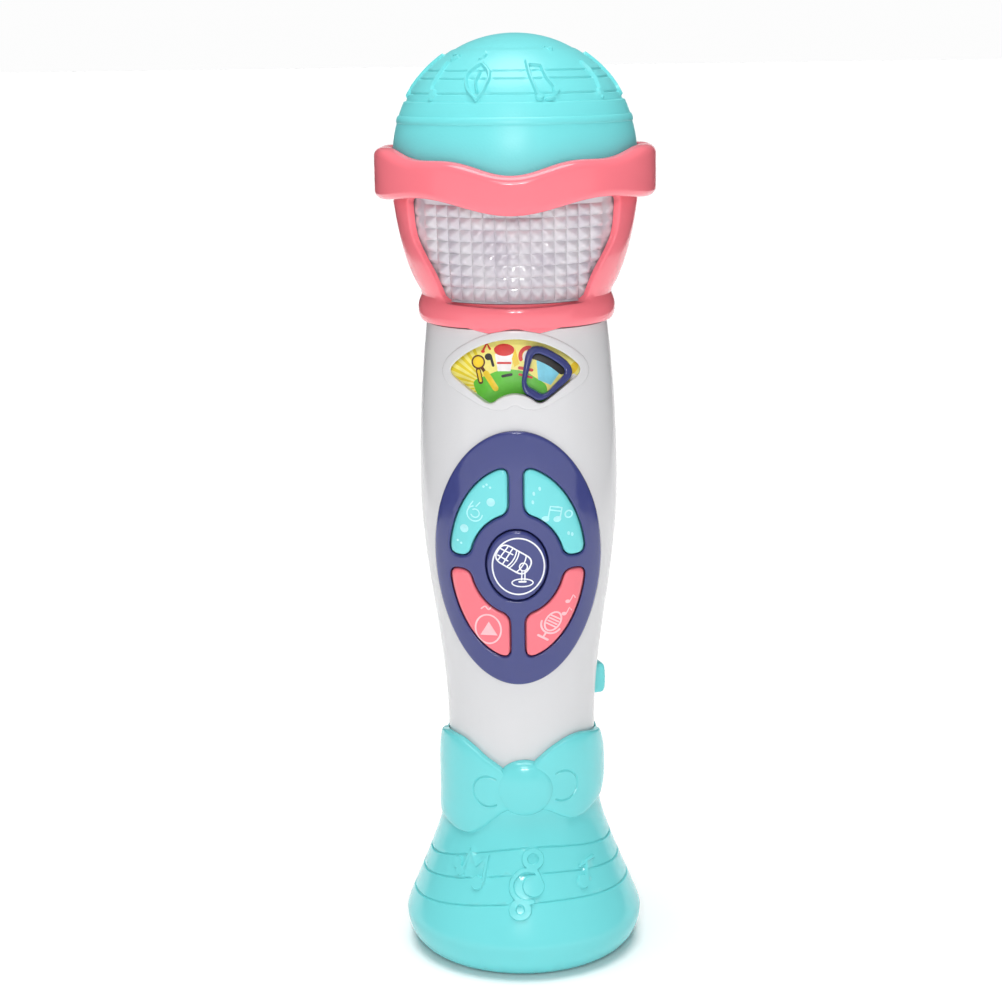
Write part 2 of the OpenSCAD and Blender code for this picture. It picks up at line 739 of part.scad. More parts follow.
module selector_frame() {
    neck_r = selector_ri + 0.6;
    color("slateblue") translate([0, 0, pivot_z]) rotate([0, selector_rest, 0]) translate([0, 0, -pivot_z])
        union() {
            selector_ring();
            swept_fan(9, [[3, -hub_back], [3, -hub_front], [neck_r, -hub_front], [neck_r, -hub_back]]);
            difference() {
                rod_y(0, pivot_z, hub_front, hub_back, 4);
                rod_y(0, pivot_z, hub_front - 1, hub_back + 1, 2.08);
            }
        }
}

module selector_wiper() {
    color("gold") translate([0, 0, pivot_z]) rotate([0, selector_rest, 0]) difference() {
        union() {
            rod_y(0, 0, hub_back, hub_back + 0.3, 3.8);
            for (s = [-1, 1]) {
                block(s * 3.2 - 0.5, s * 3.2 + 0.5, hub_back, -18.75, -4.8, -3.9);
                block(s * 3.2 - 0.5, s * 3.2 + 0.5, hub_back, hub_back + 0.3, -4.8, 0);
            }
        }
        rod_y(0, 0, hub_back - 1, -18, 2.2);
    }
}

module mode_board() {
    color("forestgreen") difference() {
        rod_y(0, pivot_z, -18.6, -17.4, 6.7);
        rod_y(0, pivot_z, -20, -16, 1.15);
    }
}

module pivot_screw() {
    color("silver") translate([0, -17.4, pivot_z]) rotate([-90, 0, 0]) screw(4.8, 2.1, 1.3, 0.95);
}

// ---------- batteries ----------

// The middle cell stands the other way up, so that the three are in series.
module battery_cells() {
    color("goldenrod") for (i = [0 : 2]) translate([cells_at[i][0], cells_at[i][1], cell_low_z])
        if (i == 1) translate([0, 0, cell_len]) mirror([0, 0, 1]) cell();
        else cell();
}

module cell() {
    cylinder(h = cell_len - 0.8, r = cell_r);
    cylinder(h = cell_len, r = 1.9, $fn = 32);
}

// Conical coil spring along +Z, standing on z = 0.
module coil(r0, r1, height, turns, wire_r) {
    steps = 14 * turns;
    tube([for (i = [0 : steps]) let (t = i / steps, a = 360 * turns * t, r = r0 + (r1 - r0) * t)
        [r * cos(a), r * sin(a), height * t]], wire_r, [0, 0, 1], 6);
}

module battery_springs() {
    low_gap = cell_low_z - bay_low_z - 0.5;
    top_gap = bay_top_z - 0.5 - cell_low_z - cell_len;
    color("silver") for (i = [0, 2]) translate([cells_at[i][0], cells_at[i][1], bay_low_z + 0.75])
        coil(3.6, 2.2, low_gap - 0.6, 2, 0.25);
    color("silver") translate([cells_at[1][0], cells_at[1][1], bay_top_z - 0.75]) mirror([0, 0, 1])
        coil(3.6, 2.2, top_gap - 0.6, 2, 0.25);
}

module battery_plates() {
    t = 0.4;
    low = bay_low_z + 0.05;
    top = bay_top_z - 0.05 - t;
    color("silver") {
        for (c = cells_at) block(c[0] - 4, c[0] + 4, c[1] - 4, c[1] + 4, low, low + t);
        for (c = cells_at) block(c[0] - 4, c[0] + 4, c[1] - 4, c[1] + 4, top, top + t);
        block(cells_at[0][0], cells_at[1][0], cell_y0, cell_y0 + 2, low, low + t);
        block(cells_at[1][0], cells_at[2][0], cell_y0, cell_y0 + 2, top, top + t);
    }
}

module battery_door() {
    color("white") difference() {
        union() {
            intersection() {
                grip_layer(-door_t, 0, 80, 155);
                along_y(5, far) door_outline(0);
            }
            rod_y(0, door_screw_z, 16.7, grip_r(door_screw_z) - 1, 4);
            // ribs that hold the middle cell down
            for (z = [108, 134]) block(-6, 6, cells_at[1][1] + cell_r + 0.2, grip_r(z) - 1.2, z, z + 1.5);
        }
        rod_y(0, door_screw_z, 16, far, 1.4);
        rod_y(0, door_screw_z, 18.4, far, 2.6);
        // finger grooves
        for (z = [139 : 2.4 : 146]) block(-6, 6, grip_r(z) - 0.5, far, z, z + 1);
    }
}

module battery_door_screw() {
    color("silver") screw_from_rear(0, door_screw_z, 18.4, 8.5, 2.3, 1.5);
}

// ---------- power switch ----------

module switch_knob() {
    color("turquoise") switch_place() translate([0, 0, switch_z]) {
        hull() for (sy = [-1, 1], sz = [-1, 1]) {
            translate([19.75, sy * 1.9, sz * 2.95]) rotate([0, 90, 0]) cylinder(h = 2.6, r = 1.3, $fn = 24);
            translate([22.5, sy * 1.8, sz * 2.8]) sphere(r = 1.2, $fn = 24);
        }
        block(17.2, 20, -1.6, 1.6, -1.75, 1.75);
        block(16.4, 17.3, -3, 3, -4.6, 4.6);
    }
}

module switch_lever() {
    color("ivory") switch_place() translate([0, 0, switch_z]) block(12.4, 16.4, -0.9, 0.9, -1.4, 1.4);
}

module slide_switch() {
    mid = switch_z + switch_travel / 2;
    color("silver") switch_place() difference() {
        block(9.3, 13, -2.2, 2.2, mid - 6, mid + 6);
        block(12.1, 14, -1.1, 1.1, mid - switch_travel / 2 - 1.7, mid + switch_travel / 2 + 1.7);
    }
}

module switch_board() {
    color("forestgreen") switch_place() difference() {
        block(7.7, 9.3, -4, 4, switch_posts_at[0] - 2, switch_posts_at[1] + 2);
        for (z = switch_posts_at) translate([7, 0, z]) rotate([0, 90, 0])
            cylinder(h = 4, r = 1.05, $fn = 32);
    }
}

module switch_screws() {
    color("silver") switch_place() for (z = switch_posts_at) translate([7.7, 0, z]) rotate([0, -90, 0])
        screw(5, 1.7, 1.1, 0.9);
}

// ---------- foot ----------

// Outside of the foot: a rounded rim, a bell and the collar round the waist.
foot_outside = concat(
    [for (i = [0 : 8]) let (a = 90 * i / 8)
        [foot_rim_r + (foot_r - foot_rim_r) * sin(a), foot_bulge_z * (1 - cos(a))]],
    [for (i = [1 : 12])
        bezier([[foot_r, foot_bulge_z], [foot_r - 0.8, 14], [collar_r, 33], [collar_r, 42]])[i]],
    [[collar_r, 48], [collar_top_r, collar_top_z]]);

foot_inside = [[base_plate_r + 0.2, 3.4], [28.6, 6], [29.6, 9], [28.4, 14], [26.3, 18], [24.2, 22],
    [22.8, foot_deck_z]];

// Upper edge of the bow's wings and of the collar behind them, in front view.
module collar_notch() {
    along_y(-far, 0) polygon([[0, 50], [-5.2, 56.1], [-9.2, 59.4], [-14, 61.6], [-far, 61.6],
        [-far, 70], [far, 70], [far, 61.9], [13, 61.9], [8, 60.6], [4.4, 58]]);
    along_y(0, far) polygon([[-far, 61.6], [-far, 70], [far, 70], [far, 61.6], [8, 59], [-8, 59]]);
}

module wing(side, low_z) {
    along_y(-far, -4) offset(r = 3, $fn = 24) offset(delta = -3)
        polygon([[side * 3, 53], [side * 12, 63], [side * 30, 64], [side * 30, low_z + 2],
            [side * 14, low_z], [side * 7, low_z + 4], [side * 3, 48]]);
}

// The layer that the wings are cut from: it follows the collar, which narrows upwards.
module bow_layer() {
    low = 34;
    rotate_extrude() polygon([[collar_top_r - 0.5, low], [collar_r + bow_r, low], [collar_r + bow_r, 48],
        [collar_top_r + bow_r, collar_top_z], [collar_top_r - 0.5, collar_top_z]]);
}

module foot_shell() {
    bore_r = waist_r + 0.1;
    color("mediumturquoise") difference() {
        union() {
            rotate_extrude() polygon(concat([[0, 0]], foot_outside, [[0, collar_top_z]]));
            intersection() {
                bow_layer();
                union() {
                    wing(-1, 36.4);
                    wing(1, 41);
                }
            }
        }
        collar_notch();
        translate([0, 0, foot_deck_z + wall]) cylinder(h = far, r = bore_r);
        // hollow under the deck, following the bell
        rotate_extrude()
            polygon(concat([[0, -1], [base_plate_r + 0.2, -1]], foot_inside, [[0, foot_deck_z]]));
        translate([0, 0, foot_deck_z - 1]) cylinder(h = wall + 2, r = 8);
        for (s = [-1, 1]) rod_z(0, s * foot_screw_y, foot_deck_z - 1, foot_deck_z + 4, clear_r);
    }
    color("mediumturquoise") for (a = [45 : 90 : 315]) rotate([0, 0, a]) difference() {
        rod_z(base_screw_r, 0, base_z + base_plate_t, foot_deck_z + eps, 2.5);
        rod_z(base_screw_r, 0, 0, 16, pilot_r);
    }
    // knot of the bow
    color("mediumturquoise") difference() {
        rod_y(1.4, 50.1, -23.2, -15, 7.7);
        translate([0, 0, 30]) cylinder(h = 40, r = bore_r);
    }
}

module foot_screws() {
    color("silver") for (s = [-1, 1]) translate([0, s * foot_screw_y, foot_deck_z]) rotate([180, 0, 0])
        screw(10, 2.3, 1.5);
}

module base_plate() {
    hole_r = 1.1;
    hole_pitch = 3.6;
    color("mediumturquoise") difference() {
        translate([0, 0, base_z]) cylinder(h = base_plate_t, r = base_plate_r);
        for (a = [45 : 90 : 315]) rotate([0, 0, a]) rod_z(base_screw_r, 0, 0, 5, clear_r);
        // sound holes: one in the middle and three rings of them
        rod_z(0, 0, 0, 5, hole_r);
        for (ring = [1 : 3], i = [0 : 6 * ring - 1]) rotate([0, 0, 60 * i / ring])
            rod_z(hole_pitch * ring, 0, 0, 5, hole_r);
    }
}

module base_screws() {
    color("silver") for (a = [45 : 90 : 315]) rotate([0, 0, a]) translate([base_screw_r, 0, base_z])
        rotate([180, 0, 0]) screw(11, 2.3, 1.1);
}

module speaker_basket() {
    z = base_z + base_plate_t;
    color("dimgray") rotate_extrude() polygon([[speaker_r - 3, z], [speaker_r, z], [speaker_r, z + 1.6],
        [speaker_r - 2, z + 2], [10, z + 8], [3, z + 8], [3, z + 7], [9.4, z + 7], [speaker_r - 3, z + 1.4]]);
}

module speaker_cone() {
    z = base_z + base_plate_t;
    color("saddlebrown") rotate_extrude() polygon([[0, z + 4.2], [4, z + 4.2], [13.6, z + 0.9], [14.3, z + 0.5],
        [14.4, z + 0.9], [13.4, z + 1.5], [4.4, z + 5], [0, z + 5]]);
}

module speaker_magnet() {
    z = base_z + base_plate_t + 8;
    color("dimgray") {
        translate([0, 0, z]) cylinder(h = 5, r = 9);
        translate([0, 0, z + 5 - eps]) cylinder(h = 1.2, r = 7);
    }
}

// ---------- wiring ----------

module head_wires() {
    back = board_front + board_t;
    for (i = [-1 : 1]) color(["red", "black", "white"][i + 1])
        tube([[2 * i, back + eps, 144], [2 * i, back + 2, 144.2], [2 * i, back + 5, 147], [1.7 * i, -4, 160],
            [1.7 * i, -4.6, 174], [1.7 * i, -6, 178], [1.7 * i, -6, led_board_z - eps]], wire_r);
}

module speaker_wires() {
    back = board_front + board_t;
    for (i = [0, 1]) color(["red", "black"][i])
        tube([[2 * i - 7, back + eps, 83], [2 * i - 7, back + 2, 83],
            [2 * i - 7, -6, 78], [2 * i - 5, 0, 60], [2 * i - 3, 0, 30],
            [2 * i - 3, 0, base_z + base_plate_t + 14.2]], wire_r);
}

module battery_wires() {
    back = board_front + board_t;
    for (s = [-1, 1]) color(s > 0 ? "red" : "black")
        tube([[s * cell_pitch, lead_y, bay_low_z], [s * cell_pitch, lead_y, 93], [s * 6, 2.6, 89.5],
            [s * 3, -6, 88], [s * 2, back + 2, 86], [s * 2, back + eps, 86]], wire_r);
}

// ---------- what is drawn ----------

dome_cap();
visor_band();
head_frame();
light_shade();
head_deck();
head_deck_screws();
led_board();
led_board_screws();
led_lamps();
head_screws();
front_shell();
rear_shell();
shell_screws();
control_panel();
centre_button();
upper_left_button();
upper_right_button();
lower_left_button();
lower_right_button();
button_mat();
main_board();
board_chips();
board_screws();
picture_card();
picture_plate();
selector_frame();
selector_wiper();
mode_board();
pivot_screw();
battery_cells();
battery_springs();
battery_plates();
battery_door();
battery_door_screw();
switch_knob();
switch_lever();
slide_switch();
switch_board();
switch_screws();
foot_shell();
foot_screws();
base_plate();
base_screws();
speaker_basket();
speaker_cone();
speaker_magnet();
head_wires();
speaker_wires();
battery_wires();
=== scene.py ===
import math

import bpy
import numpy as np
from mathutils import Matrix, Vector
from mathutils.geometry import delaunay_2d_cdt


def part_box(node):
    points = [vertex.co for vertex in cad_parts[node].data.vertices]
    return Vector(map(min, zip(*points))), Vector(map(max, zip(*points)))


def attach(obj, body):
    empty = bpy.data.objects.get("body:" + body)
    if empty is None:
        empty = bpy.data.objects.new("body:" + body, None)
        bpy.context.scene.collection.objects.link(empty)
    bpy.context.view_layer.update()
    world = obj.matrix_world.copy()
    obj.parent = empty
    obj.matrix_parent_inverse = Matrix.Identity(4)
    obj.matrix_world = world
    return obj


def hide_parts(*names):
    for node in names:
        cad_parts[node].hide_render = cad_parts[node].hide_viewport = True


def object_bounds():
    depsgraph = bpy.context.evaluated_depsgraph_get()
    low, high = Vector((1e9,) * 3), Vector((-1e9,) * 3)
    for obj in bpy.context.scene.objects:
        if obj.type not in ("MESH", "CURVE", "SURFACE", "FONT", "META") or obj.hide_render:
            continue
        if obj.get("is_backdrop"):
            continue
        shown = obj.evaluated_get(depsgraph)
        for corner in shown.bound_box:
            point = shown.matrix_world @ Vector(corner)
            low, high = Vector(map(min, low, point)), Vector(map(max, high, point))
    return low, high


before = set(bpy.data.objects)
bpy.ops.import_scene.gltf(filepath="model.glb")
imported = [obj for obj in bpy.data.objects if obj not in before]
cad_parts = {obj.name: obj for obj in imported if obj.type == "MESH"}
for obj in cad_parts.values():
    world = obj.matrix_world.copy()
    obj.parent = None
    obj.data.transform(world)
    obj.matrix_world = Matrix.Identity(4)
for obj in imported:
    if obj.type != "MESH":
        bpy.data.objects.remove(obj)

cad_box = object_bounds()

# ---------- sizes: millimetres, read from the frame where it has them ----------

MM = 0.001
TAU = 2 * math.pi


def box(node):
    low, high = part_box(node)
    return np.array(low) / MM, np.array(high) / MM


HEIGHT = cad_box[1][2] / MM
DOME_R = box("dome_cap")[1][0]
DOME_LOW_Z = box("dome_cap")[0][2]
VISOR_R = box("visor_band")[1][0]
FRAME_LOW_Z, FRAME_TOP_Z = box("head_frame")[0][2], box("head_frame")[1][2]
GRIP_R = box("front_shell")[1][0]
FOOT_R = box("foot_shell")[1][0]
PIVOT_Z = (box("mode_board")[0][2] + box("mode_board")[1][2]) / 2
PANEL_LOW, PANEL_HIGH = box("control_panel")
PANEL_Z = (PANEL_LOW[2] + PANEL_HIGH[2]) / 2
PANEL_B = (PANEL_HIGH[2] - PANEL_LOW[2]) / 2
PANEL_A = (PANEL_HIGH[0] - PANEL_LOW[0]) / 2

GRIP_WIDE_Z = 130.0
GRIP_TOP_R = 23.5
WAIST_R, WAIST_Z = 19.7, 62.0
WALL = 2.0
THINNEST = 0.4
PANEL_PROUD, PANEL_LEDGE = 1.1, 1.6
BUTTON_PROUD, BUTTON_GAP = 0.3, 0.3
WINDOW_RI, WINDOW_RO, WINDOW_HALF = 7.6, 21.4, 54.0
SELECTOR_RI, SELECTOR_RO, SELECTOR_HALF, SELECTOR_REST = 7.9, 19.9, 22.0, 30.8


# ---------- flat figures: closed blobs and strokes of even width ----------

def array(points):
    return np.array(points, float)


def arc(centre, radius, start, end, steps=12):
    """Points on a circular arc; angles in degrees, counter-clockwise from +x."""
    turn = np.radians(np.linspace(start, end, steps + 1))
    return array(centre) + radius * np.column_stack([np.cos(turn), np.sin(turn)])


def ellipse(a, b, centre=(0, 0), lean=0, steps=96):
    turn = np.arange(steps) * TAU / steps
    flat = np.column_stack([a * np.cos(turn), b * np.sin(turn)])
    return turned_by(flat, lean) + array(centre)


def turned_by(points, degrees):
    c, s = math.cos(math.radians(degrees)), math.sin(math.radians(degrees))
    return array(points) @ array([[c, s], [-s, c]])


def curve(points, closed=False, steps=8):
    """A smooth (Catmull-Rom) line through a few chosen points."""
    p = array(points)
    p = np.vstack([p[-1:], p, p[:2]]) if closed else np.vstack([2 * p[0] - p[1], p, 2 * p[-1] - p[-2]])
    t = np.arange(steps)[:, None] / steps
    out = [0.5 * (2 * b + (c - a) * t + (2 * a - 5 * b + 4 * c - d) * t**2 + (3 * b - a - 3 * c + d) * t**3)
           for a, b, c, d in zip(p, p[1:], p[2:], p[3:])]
    return np.vstack(out) if closed else np.vstack(out + [p[-2:-1]])


def spread(points, gap, closed=True):
    """The same outline with no side longer than gap."""
    p = array(points)
    ends = np.roll(p, -1, 0) if closed else p[1:]
    out = []
    for a, b in zip(p, ends):
        n = max(1, math.ceil(np.linalg.norm(b - a) / gap))
        out += [a + (b - a) * k / n for k in range(n)]
    return array(out if closed else out + [p[-1]])


def trimmed(side, cut):
    """A line without the first and last stretch of length cut."""
    s = np.concatenate([[0], np.cumsum(np.linalg.norm(np.diff(side, axis=0), axis=1))])
    cut = min(cut, 0.45 * s[-1])
    at = np.concatenate([[cut], s[(s > cut) & (s < s[-1] - cut)], [s[-1] - cut]])
    return np.column_stack([np.interp(at, s, side[:, k]) for k in (0, 1)])


def soft_corners(sides, cut, steps=6):
    """A closed outline from sides that meet end to start, with each corner softened over the length cut."""
    t = np.linspace(0, 1, steps + 1)[1:-1, None]
    short, out = [trimmed(array(side), cut) for side in sides], []
    for k, side in enumerate(short):
        corner, after = array(sides[k][-1]), short[(k + 1) % len(short)][0]
        out += [side, (1 - t) ** 2 * side[-1] + 2 * t * (1 - t) * corner + t**2 * after]
    return np.vstack(out)


def rounded(points, cut, steps=6):
    """A closed outline of straight sides with softened corners."""
    p = array(points)
    return soft_corners(list(zip(p, np.roll(p, -1, 0))), cut, steps)


def outward(p, closed=True):
    """Unit normals of an outline: away from the inside of a counter-clockwise one."""
    d = np.roll(p, -1, 0) - np.roll(p, 1, 0) if closed else np.gradient(p, axis=0)
    return np.column_stack([d[:, 1], -d[:, 0]]) / np.maximum(np.linalg.norm(d, axis=1), 1e-9)[:, None]


def counter_clockwise(p):
    """The closed outline without repeated points, running counter-clockwise."""
    p = p[np.linalg.norm(p - np.roll(p, 1, 0), axis=1) > 1e-6]
    area = np.sum(p[:, 0] * np.roll(p[:, 1], -1) - np.roll(p[:, 0], -1) * p[:, 1])
    return p if area > 0 else p[::-1]


def grown(p, d):
    return p + d * outward(p)


def blob(points):
    return "blob", counter_clockwise(array(points)), 0.0


def stroke(points, width, closed=False):
    p = array(points)
    return ("ring", counter_clockwise(p), width / 2) if closed else ("stroke", p, width / 2)


def line_gap(p, line, closed):
    """Distance from each point to a line of straight pieces."""
    best = np.full(len(p), np.inf)
    for a, b in zip(line, np.roll(line, -1, 0) if closed else line[1:]):
        d = b - a
        t = np.clip((p - a) @ d / max(d @ d, 1e-12), 0, 1)
        best = np.minimum(best, np.hypot(*(p - a - t[:, None] * d).T))
    return best


def inside(p, loop):
    odd = np.zeros(len(p), bool)
    for a, b in zip(loop, np.roll(loop, -1, 0)):
        if a[1] != b[1]:
            across = a[0] + (p[:, 1] - a[1]) * (b[0] - a[0]) / (b[1] - a[1])
            odd ^= ((a[1] > p[:, 1]) != (b[1] > p[:, 1])) & (p[:, 0] < across)
    return odd


def part_gap(p, part, reach=3.0):
    """Signed distance to a figure's part, negative inside; `reach` where it is further than that."""
    kind, line, half = part
    gap = np.full(len(p), reach)
    near = np.all((p > line.min(0) - half - reach) & (p < line.max(0) + half + reach), axis=1)
    if near.any():
        q = p[near]
        d = line_gap(q, line, kind != "stroke")
        gap[near] = np.where(inside(q, line), -d, d) if kind == "blob" else d - half
    return gap


def part_loops(part, d):
    """The part's outlines at signed distance d."""
    kind, line, half = part
    if kind == "blob":
        return [grown(line, d)]
    if half + d < 0.03:
        return []
    if kind == "ring":
        return [grown(line, half + d), grown(line, -half - d)]
    side = outward(line, False) * (half + d)
    out = []
    for end, first, last in ((line[-1], side[-1], -side[-1]), (line[0], -side[0], side[0])):
        start = math.degrees(math.atan2(first[1], first[0]))
        out.append(arc(end, half + d, start, start + 180, 6))
    return [np.vstack([line[1:-1] + side[1:-1], out[0], (line - side)[-2:0:-1], out[1]])]


class Mark:
    """A figure on a surface: raised (or sunk) by `rise` over sides `side` wide, in material `slot`."""

    def __init__(self, parts, rise=0.0, side=0.25, slot=None, pillow=False, under=()):
        self.parts, self.rise, self.side, self.slot = parts, rise, side, slot
        self.pillow, self.under = pillow, under

    def gap(self, plan):
        return np.min([part_gap(plan, part) for part in self.parts], axis=0)

    def level(self, plan):
        share = np.clip(-self.gap(plan) / self.side, 0, 1)
        if self.pillow:
            share = np.sqrt(1 - (1 - share) ** 2)
        for other in self.under:
            share = share * np.clip(other.gap(plan) / 0.4, 0, 1)
        return self.rise * share

    def loops(self):
        steps = (0, 0.04, 0.15, 0.4, 0.7, 1) if self.pillow else (0, 1) if self.rise else (0,)
        return [loop for part in self.parts for k in steps for loop in part_loops(part, -k * self.side)]


# ---------- surfaces ----------

def polar(angle, r, z):
    """Points round the Z axis, at an angle from the front."""
    return np.column_stack([r * np.sin(angle), -r * np.cos(angle), z])


class Turned:
    """A surface of revolution, planned as a strip (angle, length along the section) or as a disc."""

    def __init__(self, section, disc=False):
        section = array(section)
        self.r, self.z = section.T
        step = np.linalg.norm(np.diff(section, axis=0), axis=1)
        self.s = np.concatenate([[0], np.cumsum(step)])
        self.disc, self.up = disc, -1 if disc else 1
        self.ref = 24.0
        normal = outward(section, False)
        self.nr, self.nz = (normal * (1 if not disc else -1)).T

    def s_at(self, z):
        order = np.argsort(self.z, kind="stable")
        return np.interp(z, self.z[order], self.s[order])

    def where(self, plan):
        if self.disc:
            return np.arctan2(plan[:, 0], -plan[:, 1]), np.hypot(plan[:, 0], plan[:, 1])
        return plan[:, 0] / self.ref, plan[:, 1]

    def plan(self, angle, s):
        if self.disc:
            return np.column_stack([s * np.sin(angle), -s * np.cos(angle)])
        return np.column_stack([angle * self.ref, s + 0 * angle])

    def place(self, plan, h):
        angle, s = self.where(plan)
        r = np.interp(s, self.s, self.r) + h * np.interp(s, self.s, self.nr)
        z = np.interp(s, self.s, self.z) + h * np.interp(s, self.s, self.nz)
        return polar(angle, r, z)


def lining(surface, wall):
    """What lies behind a turned surface at each height: the inner section (r, z) of its wall."""
    def behind(plan):
        angle, s = surface.where(plan)
        z = np.interp(s, surface.s, surface.z)
        r = np.interp(z, wall[:, 1], wall[:, 0])
        return polar(angle, np.minimum(r, np.interp(s, surface.s, surface.r) - THINNEST), z)
    return behind


def at(surface, pairs):
    """Plan points from (angle, z) pairs on a turned surface."""
    pairs = array(pairs)
    return surface.plan(np.radians(pairs[:, 0]), surface.s_at(pairs[:, 1]))


def drawn_at(surface, angle, z, figure):
    """A figure drawn in its own millimetres (x round, y up) about a place on a turned surface."""
    s = surface.s_at(z)
    r = np.interp(s, surface.s, surface.r)
    return surface.plan(math.radians(angle) + figure[:, 0] / r, s + figure[:, 1] * surface.up)


def ring_line(surface, z, start=-180, gap=1.2):
    """A line all the way round a turned surface at height z, which may vary with the angle in degrees."""
    n = math.ceil(TAU * surface.ref / gap)
    angles = np.linspace(start, start + 360, n + 1)
    heights = z(angles) if callable(z) else np.full(n + 1, float(z))
    return at(surface, np.column_stack([angles, heights]))


def strip(low, high, gap=1.2):
    """The outline of a strip between two lines that run the same way."""
    right, left = spread([low[-1], high[-1]], gap, False), spread([high[0], low[0]], gap, False)
    return np.vstack([low, right[1:-1], high[::-1], left[1:-1]])


def bezier(a, b, c, d, n=24):
    t = np.linspace(0, 1, n + 1)[:, None]
    a, b, c, d = map(array, (a, b, c, d))
    return (1 - t) ** 3 * a + 3 * (1 - t) ** 2 * t * b + 3 * (1 - t) * t**2 * c + t**3 * d


def grip_r(z):
    z = np.asarray(z, float)
    top = GRIP_R - (GRIP_R - GRIP_TOP_R) * ((z - GRIP_WIDE_Z) / (FRAME_LOW_Z - GRIP_WIDE_Z)) ** 2
    swing = np.cos(math.pi * (GRIP_WIDE_Z - np.clip(z, WAIST_Z, GRIP_WIDE_Z)) / (GRIP_WIDE_Z - WAIST_Z))
    return np.where(z > GRIP_WIDE_Z, top, WAIST_R + (GRIP_R - WAIST_R) * (1 + swing) / 2)


def on_grip(plan, h):
    """Plan (x, z) seen straight from the front, laid on the handle."""
    r = grip_r(plan[:, 1]) + h
    y = np.sqrt(np.maximum(r**2 - plan[:, 0] ** 2, 1))
    return np.column_stack([plan[:, 0], -y, plan[:, 1]])


# ---------- meshes ----------

def washer_z(section, n=96):
    """A section (r, z) turned about the Z axis."""
    return loft([polar(a, *array(section).T) for a in np.arange(n) * TAU / n])


def add(name, node, solid, materials, body="handle", sharp=38):
    """Makes a closed piece in place of a CAD node, smooth apart from its sharp edges. Its solid is points in
    millimetres, faces and, with several materials, each face's paint."""
    mesh = bpy.data.meshes.new(name)
    mesh.from_pydata((solid[0] * MM).tolist(), [], [list(map(int, f)) for f in solid[1]])
    for material in materials:
        mesh.materials.append(material)
    if len(materials) > 1:
        mesh.polygons.foreach_set("material_index", np.asarray(solid[2], np.int32))
    mesh.validate()
    mesh.shade_smooth()
    mesh.set_sharp_from_angle(angle=math.radians(sharp))
    piece = bpy.data.objects.new(name, mesh)
    bpy.context.scene.collection.objects.link(piece)
    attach(piece, body)
    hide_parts(node)


def has_area(faces):
    return (faces[:, 0] != faces[:, 1]) & (faces[:, 1] != faces[:, 2]) & (faces[:, 2] != faces[:, 0])


def triangulate(loops, lines, fill):
    points, edges = [], []
    for loop, closed in [(l, True) for l in loops] + [(l, False) for l in lines]:
        first = len(points)
        points += [Vector(p) for p in loop]
        edges += [(first + k, first + k + 1) for k in range(len(loop) - 1)]
        if closed:
            edges.append((first + len(loop) - 1, first))
    points += [Vector(p) for p in fill]
    out = delaunay_2d_cdt(points, edges, [], 0, 1e-6, False)
    return array([tuple(p) for p in out[0]]), np.array([f for f in out[2] if len(f) == 3], int)


